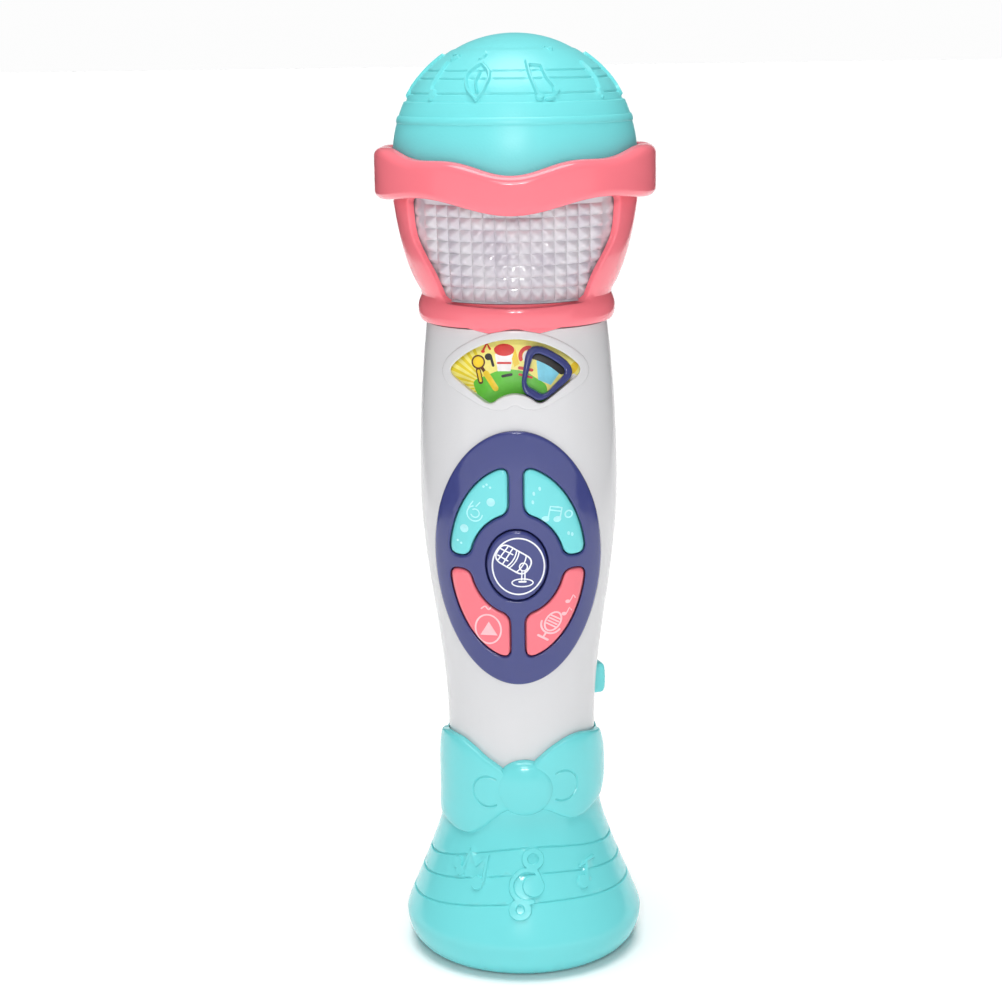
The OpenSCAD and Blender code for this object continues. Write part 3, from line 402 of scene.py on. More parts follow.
def sheet(place, back, outline, holes=(), marks=(), lines=(), step=1.2, edge=0.3, ends=None):
    """A plate with a shaped face: its points, its faces and each face's paint.
    place(plan, h) lays a plan point on the surface, back(plan) is the point behind it, `edge` rounds the rims.
    A strip that goes all the way round gives its two `ends`, because its joint isn't a rim."""
    outline, holes = counter_clockwise(array(outline)), [counter_clockwise(array(h)) for h in holes]
    rims = [(rim, True, 1) for rim in holes]
    rims += [(outline, True, -1)] if ends is None else [(end, False, 0) for end in ends]
    steps = [edge * k for k in (0.08, 0.3, 0.6, 1)] if edge else []
    loops = [outline, *holes] + [grown(rim, side * d) for rim, closed, side in rims if closed for d in steps]
    lines = list(lines) + [rim + (0, side * d) for rim, closed, _ in rims if not closed
                           for d in steps for side in (-1, 1)]
    lines = [line[(line[:, 1] > outline[:, 1].min()) & (line[:, 1] < outline[:, 1].max())] for line in lines]
    lines = [line for line in lines if len(line) > 1]
    for mark in marks:
        loops += mark.loops()
    low, high = outline.min(0), outline.max(0)
    rows = np.arange(low[1], high[1], step * 0.87)
    across = [np.arange(low[0] + (k % 2) * step / 2, high[0], step) for k in range(len(rows))]
    fill = np.vstack([np.column_stack([x, np.full(len(x), z)]) for x, z in zip(across, rows)])
    cell = step * 0.6
    taken = {tuple(c) for loop in loops + list(lines) for c in np.floor(loop / cell).astype(int)}
    keep = array([tuple(c) not in taken for c in np.floor(fill / cell).astype(int)]).astype(bool)
    plan, faces = triangulate(loops, lines, fill[keep])
    centres = plan[faces].mean(axis=1)
    solid = inside(centres, outline)
    for hole in holes:
        solid &= ~inside(centres, hole)
    faces, centres = faces[solid], centres[solid]
    used, faces = np.unique(faces, return_inverse=True)
    plan, faces = plan[used], faces.reshape(-1, 3)
    h = np.zeros(len(plan))
    for mark in marks:
        if mark.rise:
            h += mark.level(plan)
    if edge:
        d = np.min([line_gap(plan, rim, closed) for rim, closed, _ in rims], axis=0)
        h -= edge - np.sqrt(np.maximum(edge**2 - np.maximum(edge - d, 0) ** 2, 0))
    paint = np.zeros(len(faces), int)
    for mark in marks:
        if mark.slot is not None:
            paint[mark.gap(centres) < 0] = mark.slot
    top, rear = place(plan, h), back(plan)
    _, first, same = np.unique(np.round(top, 3), axis=0, return_index=True, return_inverse=True)
    faces = same.reshape(-1)[faces]
    whole = has_area(faces)
    faces, paint, top, rear = faces[whole], paint[whole], top[first], rear[first]
    n = len(top)
    sides = np.vstack([faces[:, [0, 1]], faces[:, [1, 2]], faces[:, [2, 0]]])
    open_side = ~np.isin(sides[:, 0] * n + sides[:, 1], sides[:, 1] * n + sides[:, 0])
    a, b = sides[open_side].T
    walls = np.column_stack([b, a, a + n, b + n])
    everything = faces.tolist() + (faces[:, ::-1] + n).tolist() + walls.tolist()
    return np.vstack([top, rear]), everything, np.concatenate([paint, 0 * paint, np.zeros(len(walls), int)])


def loft(rings):
    """A closed band through closed rings of points, the last joined to the first."""
    rings = array(rings)
    m, n = rings.shape[:2]
    i, j = np.meshgrid(np.arange(m), np.arange(n), indexing="ij")
    k, l = (i + 1) % m, (j + 1) % n
    faces = np.column_stack([a.ravel() for a in (i * n + j, k * n + j, k * n + l, i * n + l)])
    return rings.reshape(-1, 3), faces


def joined(*pieces):
    """Several (points, faces[, paint]) as one."""
    points, faces, paint, first = [], [], [], 0
    for piece in pieces:
        points.append(piece[0])
        faces += [[int(i) + first for i in f] for f in piece[1]]
        paint += list(piece[2]) if len(piece) > 2 else [0] * len(piece[1])
        first += len(piece[0])
    return np.vstack(points), faces, paint


def washer_y(section, x, z, n=48):
    """A section (distance, -y) turned about a line along Y."""
    r, y = array(section).T
    angles = np.arange(n) * TAU / n
    return loft([np.column_stack([x + r * math.sin(a), -y, z + r * math.cos(a)]) for a in angles])


def box_solid(low, high):
    """A closed block between two corners."""
    x, y, z = zip(low, high)
    points = [(x[i], y[j], z[k]) for i in (0, 1) for j in (0, 1) for k in (0, 1)]
    faces = [(0, 1, 3, 2), (4, 6, 7, 5), (0, 4, 5, 1), (2, 3, 7, 6), (0, 2, 6, 4), (1, 5, 7, 3)]
    return array(points), faces


def rod(start, end, radius, n=28):
    """A closed round rod."""
    start, end = array(start), array(end)
    axis = (end - start) / np.linalg.norm(end - start)
    side = np.cross(axis, (1, 0, 0) if abs(axis[0]) < 0.8 else (0, 1, 0))
    side /= np.linalg.norm(side)
    turn = np.arange(n)[:, None] * TAU / n
    circle = np.cos(turn) * side + np.sin(turn) * np.cross(axis, side)
    points = np.vstack([start + radius * circle, end + radius * circle])
    sides = [(k, (k + 1) % n, n + (k + 1) % n, n + k) for k in range(n)]
    return points, sides + [list(range(n))[::-1], list(range(n, 2 * n))]


def pillars(distance, low, high, radius, angles):
    """Upright rods round the Z axis."""
    feet = [(distance * math.cos(a), distance * math.sin(a)) for a in np.radians(angles)]
    return [rod((*foot, low), (*foot, high), radius) for foot in feet]


def cad_shape(node):
    """A CAD node's points and faces, with the points of neighbouring faces welded."""
    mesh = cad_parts[node].data
    points = array([v.co for v in mesh.vertices]) / MM
    faces = np.array([f.vertices for f in mesh.polygons], int)
    _, first, same = np.unique(np.round(points, 3), axis=0, return_index=True, return_inverse=True)
    faces = same.reshape(-1)[faces]
    return points[first], faces[has_area(faces)].tolist()


# ---------- materials ----------

def srgb(r, g, b):
    """A screen colour, 0 to 255 each, as linear light."""
    return [((c / 255 + 0.055) / 1.055) ** 2.4 if c > 10 else c / 3294.6 for c in (r, g, b)] + [1.0]


def tinted(colour, factor):
    return [min(1.0, c * factor) for c in colour[:3]] + [1.0]


class Finish:
    """A node material under construction, in the object's own coordinates."""

    def __init__(self, name):
        self.material = bpy.data.materials.new(name)
        self.material.use_nodes = True
        self.tree = self.material.node_tree
        self.shader = self.tree.nodes["Principled BSDF"]
        self.place = self.tree.nodes.new("ShaderNodeTexCoord").outputs["Object"]

    def node(self, kind, settings=(), **sockets):
        made = self.tree.nodes.new(kind)
        for key, value in dict(settings).items():
            setattr(made, key, value)
        for key, value in sockets.items():
            self.feed(made.inputs[key.replace("_", " ")], value)
        return made

    def feed(self, socket, value):
        if isinstance(value, bpy.types.NodeSocket):
            self.tree.links.new(value, socket)
        else:
            socket.default_value = value

    def noise(self, scale, detail=2.0):
        """An even noise; scale is its number of cells per metre."""
        made = self.node("ShaderNodeTexNoise", Vector=self.place, Scale=scale, Detail=detail)
        return made.outputs["Fac"]

    def span(self, value, low, high, start=0.35, end=0.65):
        """Maps the middle of a 0-1 value onto low to high."""
        made = self.node("ShaderNodeMapRange", Value=value, From_Min=start, From_Max=end, To_Min=low, To_Max=high)
        return made.outputs["Result"]

    def blend(self, factor, first, second):
        made = self.node("ShaderNodeMix", {"data_type": "RGBA"})
        self.feed(made.inputs[0], factor)
        self.feed(made.inputs[6], first)
        self.feed(made.inputs[7], second)
        return made.outputs[2]

    def bump(self, height, depth, strength=1.0):
        made = self.node("ShaderNodeBump", Height=height, Distance=depth * MM, Strength=strength)
        self.tree.links.new(made.outputs["Normal"], self.shader.inputs["Normal"])

    def set(self, **sockets):
        for key, value in sockets.items():
            self.feed(self.shader.inputs[key.replace("_", " ")], value)
        return self.material


def plastic(name, colour, roughness=0.16, drift=0.02, skin=0.002, coat=0.0, grain=900):
    """Glossy moulded plastic: slow flow marks in its colour, slightly uneven gloss, a fine grain."""
    f = Finish(name)
    body = f.blend(f.span(f.noise(18, 1), 0, 1, 0.2, 0.8), tinted(colour, 1 - drift), tinted(colour, 1 + drift))
    f.bump(f.noise(grain, 0), skin)
    handled = f.span(f.noise(40, 1), roughness - 0.03, roughness + 0.03, 0.2, 0.8)
    return f.set(Base_Color=body, Roughness=handled, IOR=1.43, Coat_Weight=coat, Coat_Roughness=0.1)


def metal(name, colour, roughness=0.3, skin=0.01):
    """Plated metal with faint tarnish and fine tool marks."""
    f = Finish(name)
    stain = f.blend(f.span(f.noise(160, 4), 0, 1), tinted(colour, 0.8), colour)
    marks = f.node("ShaderNodeTexWave", Vector=f.place, Scale=1500.0, Distortion=3.0, Detail=2.0).outputs["Fac"]
    f.bump(marks, skin, 0.4)
    worn = f.span(f.noise(400, 3), roughness - 0.08, roughness + 0.1)
    return f.set(Base_Color=stain, Metallic=1.0, Roughness=worn)


def print_ink(name, colour, roughness=0.42):
    """A printed colour on paper or plastic, a little uneven where the ink lay."""
    f = Finish(name)
    uneven = f.blend(f.span(f.noise(500, 3), 0, 1), tinted(colour, 0.92), tinted(colour, 1.04))
    f.bump(f.noise(2500, 1), 0.006)
    return f.set(Base_Color=uneven, Roughness=f.span(f.noise(240, 2), roughness - 0.05, roughness + 0.05))


def clear_lens():
    """Moulded clear plastic, faintly violet, that scatters a little light."""
    f = Finish("clear_lens")
    milky = f.blend(f.span(f.noise(120, 3), 0, 1), srgb(222, 215, 226), srgb(240, 236, 242))
    f.bump(f.noise(900, 2), 0.01)
    return f.set(Base_Color=milky, Roughness=f.span(f.noise(300, 2), 0.06, 0.12), IOR=1.58,
                 Transmission_Weight=0.35, Coat_Weight=1.0, Coat_Roughness=0.08)


def circuit_board():
    """Green solder mask over a pattern of copper tracks."""
    f = Finish("circuit_board")
    tracks = f.node("ShaderNodeTexBrick", Vector=f.place, Scale=180.0, Mortar_Size=0.03,
                    Color1=srgb(22, 92, 48), Color2=srgb(26, 100, 54), Mortar=srgb(60, 140, 80))
    f.bump(tracks.outputs["Fac"], 0.03, 0.5)
    gloss = f.span(f.noise(300), 0.3, 0.45)
    return f.set(Base_Color=tracks.outputs["Color"], Roughness=gloss, Coat_Weight=0.3)


def paper_cone():
    """Pressed paper of the speaker cone, with its fibres."""
    f = Finish("paper_cone")
    fibre = f.noise(1400, 6)
    f.bump(fibre, 0.08)
    shade = f.blend(f.span(fibre, 0, 1), srgb(60, 52, 46), srgb(92, 82, 72))
    return f.set(Base_Color=shade, Roughness=f.span(fibre, 0.75, 0.9))


def cell_wrap():
    """Printed foil round the battery cells: a plain dark band and a gold one, scuffed."""
    f = Finish("cell_wrap")
    height = f.node("ShaderNodeSeparateXYZ", Vector=f.place).outputs["Z"]
    band = f.span(height, 0, 1, 0.127, 0.1275)
    scuffs = f.noise(350, 5)
    printed = f.blend(band, srgb(48, 50, 58), srgb(196, 150, 78))
    worn = f.blend(f.span(scuffs, 0, 0.3, 0.5, 0.7), printed, srgb(170, 165, 160))
    f.bump(scuffs, 0.02)
    return f.set(Base_Color=worn, Metallic=0.6, Roughness=f.span(scuffs, 0.25, 0.4))


TURQUOISE_RGB = srgb(114, 214, 217)

turquoise = plastic("turquoise_plastic", TURQUOISE_RGB)
dome_turquoise = plastic("grained_turquoise", TURQUOISE_RGB, 0.36, skin=0.02, grain=1800)
pink = plastic("pink_plastic", srgb(243, 120, 132))
indigo = plastic("indigo_plastic", srgb(62, 68, 126), 0.14, 0.04, coat=0.3)
white = plastic("white_plastic", srgb(213, 213, 215), 0.2, 0.01)
reflector = plastic("reflector_white", srgb(240, 238, 240), 0.5, 0.02)
ivory = plastic("ivory_plastic", srgb(232, 224, 196), 0.4)
silicone = plastic("silicone", srgb(225, 226, 222), 0.55, 0.03, 0.02)
lamp_resin = plastic("lamp_resin", srgb(240, 240, 235), 0.12, coat=0.5)
chip = plastic("chip_black", srgb(26, 26, 28), 0.5, 0.2, 0.03)
speaker_frame = plastic("speaker_frame", srgb(50, 50, 54), 0.45, 0.1, 0.03)
wire_skin = plastic("wire_skin", srgb(170, 34, 36), 0.4, 0.1)
magnet = metal("magnet", srgb(120, 120, 124), 0.45)
steel = metal("steel", srgb(200, 200, 204))
brass = metal("brass", srgb(206, 170, 96))
lens = clear_lens()
board = circuit_board()
cone_paper = paper_cone()
cells = cell_wrap()
pale_print = print_ink("pale_print", srgb(172, 234, 238))
pink_print = print_ink("rose_print", srgb(250, 192, 198))
white_print = print_ink("white_print", srgb(236, 238, 244))
PICTURE_INKS = [print_ink(name, colour) for name, colour in [
    ("card_cream", srgb(248, 236, 132)), ("card_ray", srgb(236, 214, 40)), ("card_green", srgb(96, 196, 52)),
    ("card_gold", srgb(242, 206, 40)), ("card_brown", srgb(92, 44, 22)), ("card_red", srgb(214, 40, 34)),
    # this black ink serves the printed black marks and also the painted shadow band under the selector ring
    ("card_white", srgb(244, 240, 240)), ("card_black_and_shadow", srgb(30, 26, 28)), ("card_blue", srgb(132, 214, 236)),
    ("card_rose", srgb(226, 148, 158))]]


def dress(material, *names):
    """Gives carried-over CAD nodes their material."""
    for name in names:
        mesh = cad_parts[name].data
        mesh.materials.clear()
        mesh.materials.append(material)


# ---------- head ----------

DOME_Z = HEIGHT - DOME_R
SKIRT_DROP = 0.3
LEDGE = 14.9
CROWN = 27.7
STEP_HALF = 0.12
NOTE_RISE = 0.7


def dome_section():
    """From the dome's top to its skirt: a sphere, a little full at mid height, with a ledge and a crown."""
    angles = np.radians(np.linspace(90, 2, 90))
    edges = [h + d for h in (LEDGE, CROWN) for d in (-STEP_HALF, STEP_HALF)]
    high = np.sort(np.concatenate([DOME_R * np.sin(angles), edges]))[::-1]
    shift = np.interp(high, [-4, 9.5, *edges[:2], 19, *edges[2:], DOME_R],
                      [-0.35, -0.1, 0.25, -0.35, 0, 0.15, -0.65, 0])
    reach = np.sqrt(np.maximum(DOME_R**2 - high**2, 0))
    points = np.column_stack([np.maximum(reach + shift * reach / DOME_R, 0), DOME_Z + high])
    points = points[points[:, 1] > DOME_LOW_Z + 0.2]
    return np.vstack([points, [DOME_R - SKIRT_DROP, DOME_LOW_Z]])


def hoop(surface, z, n=180):
    return surface.plan(np.arange(n) * TAU / n, np.full(n, surface.s_at(z)))


def dome_cap():
    dome = Turned(dome_section(), disc=True)

    def pen(*pairs, width=1.25):
        return stroke(curve(at(dome, pairs)), width)

    def head(angle, z, a, b, lean=0):
        return blob(drawn_at(dome, angle, z, ellipse(a, b, (0, 0), lean, 28)))

    figures = [
        # a clef, a beamed pair, single notes and small strokes round the front
        stroke(drawn_at(dome, -25.6, 239.5, ellipse(1.5, 1.7, steps=28)), 0.9, True),
        pen((-20.8, 237.6), (-27.5, 234.8), (-24.4, 231.5), (-18.2, 228.9)),
        pen((-20.8, 237.6), (-13.4, 234.9), (-14.6, 231.5), (-18.2, 228.9)),
        pen((-19.5, 235.2), (-20.4, 233.0), (-18.4, 230.9), width=1.0),
        pen((10.5, 237.9), (11.2, 234.5), (13.5, 230.9), (15.2, 228.9)), head(14.8, 229.4, 1.2, 1.0),
        pen((19.8, 237.0), (20.9, 234.0), (24.4, 231.2)), head(24.8, 231.2, 1.1, 1.5, -20),
        pen((11.0, 237.2), (19.8, 236.9)), head(20.4, 229.0, 1.5, 0.6, 8),
        pen((-52, 237.6), (-51, 234.3), (-50.6, 232.0), (-46.6, 229.2)), head(-47.4, 230.0, 1.1, 1.7, -12),
        pen((-53, 239.4), (-46, 239.2), (-50, 238.4)),
        pen((55.8, 237.4), (57.4, 234.0), (54.0, 229.4)), head(54.4, 230.0, 1.0, 1.5, 10),
        pen((30, 241.4), (37, 240.7), width=0.9), head(37, 240.7, 0.6, 0.7),
    ]
    for angle in (88, -82, 120, -120):
        figures += [pen((angle + 2, 239.4), (angle, 234.6), (angle - 3, 229.6)),
                    head(angle - 3, 230.2, 1.0, 1.5)]
    for angle in (150, 180, -150):
        figures += [pen((angle - 6, 238.6), (angle - 5, 231.2)), pen((angle + 6, 238.6), (angle + 5, 230.4)),
                    pen((angle - 6, 238.2), (angle + 6, 238.2)),
                    head(angle - 6.4, 231.0, 1.2, 1.4, 20), head(angle + 3.4, 230.0, 1.2, 1.4, 20)]
    notes = Mark(figures, NOTE_RISE, 0.45)
    staff = [Mark([stroke(hoop(dome, z), 0.9, True)], -0.32, 0.4, under=[notes])
             for z in (235.8, 233.9, 230.3)]
    bead = Mark([stroke(hoop(dome, 223.8), 2.0, True)], 0.35, 0.9, pillow=True)
    ledges = [hoop(dome, DOME_Z + h + d) for h in (LEDGE, CROWN) for d in (-STEP_HALF, STEP_HALF)]
    ledges = [np.vstack([ledge, ledge[:1]]) for ledge in ledges]

    def inner(plan):
        angle, s = dome.where(plan)
        share = s / dome.s[-1]
        slope = share * math.radians(88)
        r = (DOME_R - WALL - 0.7) * np.sin(slope)
        z = np.where(share > 0.999, DOME_LOW_Z, DOME_Z + (DOME_R - WALL - 0.2) * np.cos(slope))
        return polar(angle, r, np.maximum(z, DOME_LOW_Z))

    rim = hoop(dome, DOME_LOW_Z, 240)
    shell = sheet(dome.place, inner, rim, marks=[notes, *staff, bead], lines=ledges, step=1.1, edge=0.0)
    bosses = pillars(24, DOME_LOW_Z - 4, DOME_Z + 12, 2.8, (90, 210, 330))
    add("dome_shell", "dome_cap", joined(shell, *bosses), [dome_turquoise], sharp=32)


def visor_edges(a):
    """Top and bottom of the visor at an angle from the front: it dips there and peaks towards the sides."""
    c2, c4, c6, c8 = (np.cos(k * a) for k in (2, 4, 6, 8))
    top = FRAME_TOP_Z + 6.54 - 2.44 * c2 - 0.33 * c4 - 0.46 * c6 - 0.55 * c8
    low = FRAME_TOP_Z - 4.3 - 0.85 * c2 - 1.33 * c4 - 0.44 * c6
    return top, low


def visor_band():
    rounding, inner, tongue = 2.2, DOME_R + 0.15, DOME_R - 2.2
    rings = []
    for a in np.arange(160) * TAU / 160:
        top, low = visor_edges(a)
        section = np.vstack([
            [(tongue, FRAME_TOP_Z), (inner, FRAME_TOP_Z), (inner, low + 0.5)],
            [(inner + 0.15, low + 0.15), (inner + 0.5, low)],
            [(inner + 1.2, low)], arc((VISOR_R - rounding, low + rounding), rounding, -90, 0, 6),
            [(VISOR_R, (low + top) / 2)], arc((VISOR_R - rounding, top - rounding), rounding, 0, 90, 6),
            [(inner + 1.2, top), (inner + 0.5, top), (inner + 0.15, top - 0.15), (inner, top - 0.5)],
            [(inner, FRAME_TOP_Z + 1.6), (tongue, FRAME_TOP_Z + 1.6)]])
        rings.append(polar(a, *section.T))
    add("visor", "visor_band", loft(rings), [pink])


BEZEL_BOTTOM_DROP = 0.9
SIDE_JOINT = -90
PRISM, PRISM_DEPTH, PRISM_PROUD = 3.05, 1.1, 0.18


def head_frame():
    neck = FRAME_LOW_Z
    bead = arc((0, 0), 1, -80, 80, 16) * (1.25, 3.2) + (24.35, neck + 3.6)
    bowl = bezier((24.7, neck + 8), (27.4, neck + 12), (30, neck + 19.5), (31.45, neck + 31))
    foot = [(24.25, neck - 1.2), (24.3, neck + 0.6)]
    outer = Turned(np.vstack([foot, bead, [(24.6, neck + 7.3)], bowl, [(31.45, FRAME_TOP_Z)]]))
    inner_foot = [(23.6, neck - 1.2), (23.6, neck), (21.6, neck + 0.01), (21.6, neck + 6.4)]
    inner_bowl = bezier((23.1, neck + 8), (25.6, neck + 12), (28.2, neck + 19.5), (29.6, neck + 31))
    inner = np.vstack([inner_foot, inner_bowl, [(29.6, FRAME_TOP_Z)]])

    def lower_edge(angle):
        from_front = np.minimum(abs(angle), 180 - abs(angle))
        return neck - BEZEL_BOTTOM_DROP * np.maximum(0, 1 - abs(from_front - 16) / 14) + 0.02

    low, high = (ring_line(outer, edge, SIDE_JOINT) for edge in (lower_edge, FRAME_TOP_Z))
    side = curve([(26.8, 204.9), (25.7, 195), (20.8, 185.5), (18, 178.5)])
    sag = curve([(18, 178.5), (0, 177.8), (-18, 178.5)])
    window = soft_corners([[(-26.8, 204.9), (26.8, 204.9)], side, sag, (side * (-1, 1))[::-1]], 1.6)
    window = spread(window, 1.0)
    turn = np.degrees(np.arcsin(window[:, 0] / np.interp(window[:, 1], outer.z, outer.r)))
    holes = [at(outer, np.column_stack([turn + middle, window[:, 1]])) for middle in (0, 180)]
    bowl_part = sheet(outer.place, lining(outer, inner), strip(low, high), holes, ends=[low, high], step=1.3,
                      edge=0.5)
    posts = [rod((s * 17.3, 0, neck + 5.4), (s * 17.3, 0, neck + 8.4), 1.9) for s in (-1, 1)]
    floor_ring = washer_z([(8.5, neck + 4.4), (22.4, neck + 4.4), (22.4, neck + 6.4), (8.5, neck + 6.4)])
    top = FRAME_TOP_Z - 0.1
    ledge = washer_z([(27.6, top - 1), (30, top - 1), (30, top), (27.6, top)])
    add("frame_bowl", "head_frame", joined(bowl_part, floor_ring, ledge, *posts), [pink])


class Prisms:
    """Small square cushions moulded into a lens, even when seen from the front."""

    rise, slot = 1, None

    def __init__(self, surface, pitch, depth, half_width, low, high):
        self.surface, self.pitch, self.depth = surface, pitch, depth
        self.columns = np.arange(-half_width, half_width + 0.01, pitch / 4)
        self.rows = low + np.arange(4 * int((high - low) / pitch) + 1) * pitch / 4

    def spots(self, x, z, middle):
        r = np.interp(z, self.surface.z, self.surface.r)
        return at(self.surface, np.column_stack([np.degrees(np.arcsin(np.clip(x / r, -1, 1))) + middle, z]))

    def loops(self):
        return []

    def creases(self):
        """The grid's lines, four to a cushion each way, and slants that point to each cushion's middle."""
        out = []
        for middle in (0, 180):
            grid = array([self.spots(self.columns, np.full(len(self.columns), z), middle) for z in self.rows])
            out += list(grid) + list(grid.transpose(1, 0, 2))
            for k in range(len(self.rows) - 1):
                for j in range(len(self.columns) - 1):
                    rising = (k % 4 < 2) == (j % 4 < 2)
                    ends = (k, k + 1) if rising else (k + 1, k)
                    out.append(array([grid[ends[0], j], grid[ends[1], j + 1]]))
        return out

    def level(self, plan):
        angle, s = self.surface.where(plan)
        x = np.interp(s, self.surface.s, self.surface.r) * np.sin(angle)
        z = np.interp(s, self.surface.s, self.surface.z)
        across = abs((x - self.columns[0]) / self.pitch % 1 - 0.5) * 2
        up = abs((z - self.rows[0]) / self.pitch % 1 - 0.5) * 2
        cut = (abs(x) < self.columns[-1] + 1e-4) & (z > self.rows[0] - 1e-4) & (z < self.rows[-1] + 1e-4)
        fall = 1 - (1 - across**2) * (1 - up**2)
        fade = np.clip((0.95 - abs(np.sin(angle))) / 0.25, 0.1, 1)
        return np.where(cut, PRISM_PROUD - self.depth * fade * fall, 0)


def light_shade():
    low_z, high_z = box("light_shade")[0][2], box("light_shade")[1][2]
    bowl = bezier((22.85, 180), (25.35, 184), (27.95, 191.5), (29.35, 203))
    outer = Turned(np.vstack([[(22.8, low_z)], bowl, [(29.35, high_z)]]))
    inner_bowl = bezier((21.3, 180.4), (23.85, 184), (26.45, 191.5), (27.85, 202.5))
    inner = np.vstack([[(20.9, low_z)], inner_bowl, [(27.85, high_z)]])
    prisms = Prisms(outer, PRISM, PRISM_DEPTH, 9 * PRISM - PRISM / 2, low_z + 0.3, high_z - 0.1)
    low, high = (ring_line(outer, z, SIDE_JOINT) for z in (low_z, high_z))
    bowl = sheet(outer.place, lining(outer, inner), strip(low, high), marks=[prisms], lines=prisms.creases(),
                 step=3.0, edge=0.0, ends=[low, high])
    add("prism_shade", "light_shade", bowl, [lens], sharp=48)


# ---------- handle ----------

SHELL_SHARP = 30


def fan(ri, ro, half, cut, lean=0.0):
    """A fan about the selector's pivot that opens upwards or leans clockwise, with softened corners."""
    outer, inner = arc((0, 0), ro, 90 + half, 90 - half, 36), arc((0, 0), ri, 90 - half, 90 + half, 20)
    right, left = spread([outer[-1], inner[0]], 0.7, False), spread([inner[-1], outer[0]], 0.7, False)
    return turned_by(soft_corners([outer, right, inner, left], cut), -lean) + (0, PIVOT_Z)


def front_shell():
    window = fan(WINDOW_RI, WINDOW_RO, WINDOW_HALF, 2.4)
    sill = fan(WINDOW_RI - 2.8, WINDOW_RO + 2.2, WINDOW_HALF + 8, 6)
    bezel = sheet(lambda p, h: on_grip(p, h + 0.35), lambda p: on_grip(p, -0.4), sill, [window], step=1.0)
    add("front_casing", "front_shell", joined(cad_shape("front_shell"), bezel), [white], sharp=SHELL_SHARP)


def rear_shell():
    add("rear_casing", "rear_shell", cad_shape("rear_shell"), [white], sharp=SHELL_SHARP)


def battery_door():
    add("battery_cover", "battery_door", cad_shape("battery_door"), [white], "door", sharp=SHELL_SHARP)


# ---------- control panel ----------

BUTTON_OUTER, BUTTON_INNER = (17.65, 26.1), (12.0, 13.6)
BUTTON_DROP = -0.9
BAR_HALF, GAP_HALF = 1.8, 1.7
CENTRE_Z = PANEL_Z - 1
STEMS = {"upper": (9.2, 11.0), "lower": (9.2, -12.8)}
LIP = 0.9
BUTTON_DEPTH = 1.2
STEM_END_Y = box("centre_button")[1][1]


def quadrant(sx, sz, d=0.0):
    """Outline of a button between two ellipses, the panel's upright bar and its cross gap."""
    (ao, bo), (ai, bi) = BUTTON_OUTER, BUTTON_INNER
    out = np.linspace(math.asin(GAP_HALF / bo), math.acos(BAR_HALF / ao), 40)
    back = np.linspace(math.acos(BAR_HALF / ai), math.asin(GAP_HALF / bi), 24)
    outer = np.column_stack([ao * np.cos(out), bo * np.sin(out)])
    inner = np.column_stack([ai * np.cos(back), bi * np.sin(back)])
    sides = [outer, spread([outer[-1], inner[0]], 0.8, False), inner, spread([inner[-1], outer[0]], 0.8, False)]
    return grown(counter_clockwise(soft_corners(sides, 2.9) * (sx, sz) + (0, PANEL_Z + BUTTON_DROP)), d)


def on_panel(extra):
    return lambda plan, h: on_grip(plan, PANEL_PROUD + extra + h)


def control_panel():
    outline = ellipse(PANEL_A, PANEL_B, (0, PANEL_Z), steps=150)
    holes = [quadrant(sx, sz) for sx in (-1, 1) for sz in (-1, 1)] + [ellipse(8.1, 9.75, (0, CENTRE_Z))]
    ledge = blob(ellipse(PANEL_A - PANEL_LEDGE, PANEL_B - PANEL_LEDGE, (0, PANEL_Z)))

    def behind(plan):
        return on_grip(plan, -PANEL_LEDGE * np.clip(-part_gap(plan, ledge) / 0.2, 0, 1))

    plate = sheet(on_panel(0), behind, outline, holes, marks=[Mark([ledge])], step=1.1, edge=0.55)
    add("panel_plate", "control_panel", plate, [indigo])


def button(name, node, body, outline, lip_outline, stem, colour, ink, icon):
    """A crowned cap with a printed figure, a lip behind the panel and a stem."""
    def behind(plan):
        return on_grip(plan, -PANEL_LEDGE - BUTTON_DEPTH)

    cap = sheet(on_panel(BUTTON_PROUD), behind, outline, marks=[Mark(icon, slot=1)], step=0.9, edge=0.9)
    lip = sheet(lambda p, h: on_grip(p, h - PANEL_LEDGE - 0.2), behind, lip_outline, step=2.0, edge=0.0)
    x, z = stem
    post = rod((x, PANEL_LEDGE + 1 - float(grip_r(z)), z), (x, STEM_END_Y, z), 1.8)
    add(name, node, joined(cap, lip, post), [colour, ink], body)


def moved(parts, x, z, lean=0.0, size=1.0):
    """Figure parts turned, scaled and shifted in their plan."""
    return [(kind, turned_by(line * size, lean) + (x, z), half * size) for kind, line, half in parts]


def small_note():
    """An eighth note about 3 mm tall."""
    return [blob(ellipse(0.62, 0.5, (0, 0), 20, 18)), stroke([(0.5, 0), (0.5, 2.1), (1.3, 1.6)], 0.3)]


def microphone_print():
    """A lying microphone on a small stand, drawn in thin lines."""
    body = rounded([(-4.4, -2.2), (3.4, -2.2), (3.4, 2.2), (-4.4, 2.2)], 2.0)
    lines = [stroke(body, 0.34, True)]
    lines += [stroke(arc((x - 5, 0), 5.4, -22, 22, 6), 0.28) for x in (-0.9, -0.3, 1.5)]
    lines += [stroke([(-3.9, -0.9), (-1.4, -0.9)], 0.3), stroke([(-4.1, 0.7), (-1.2, 0.9)], 0.3),
              stroke([(-3.3, -1.8), (-3.0, 1.9)], 0.3), stroke([(-2.0, -1.9), (-1.9, 2.0)], 0.3)]
    return lines


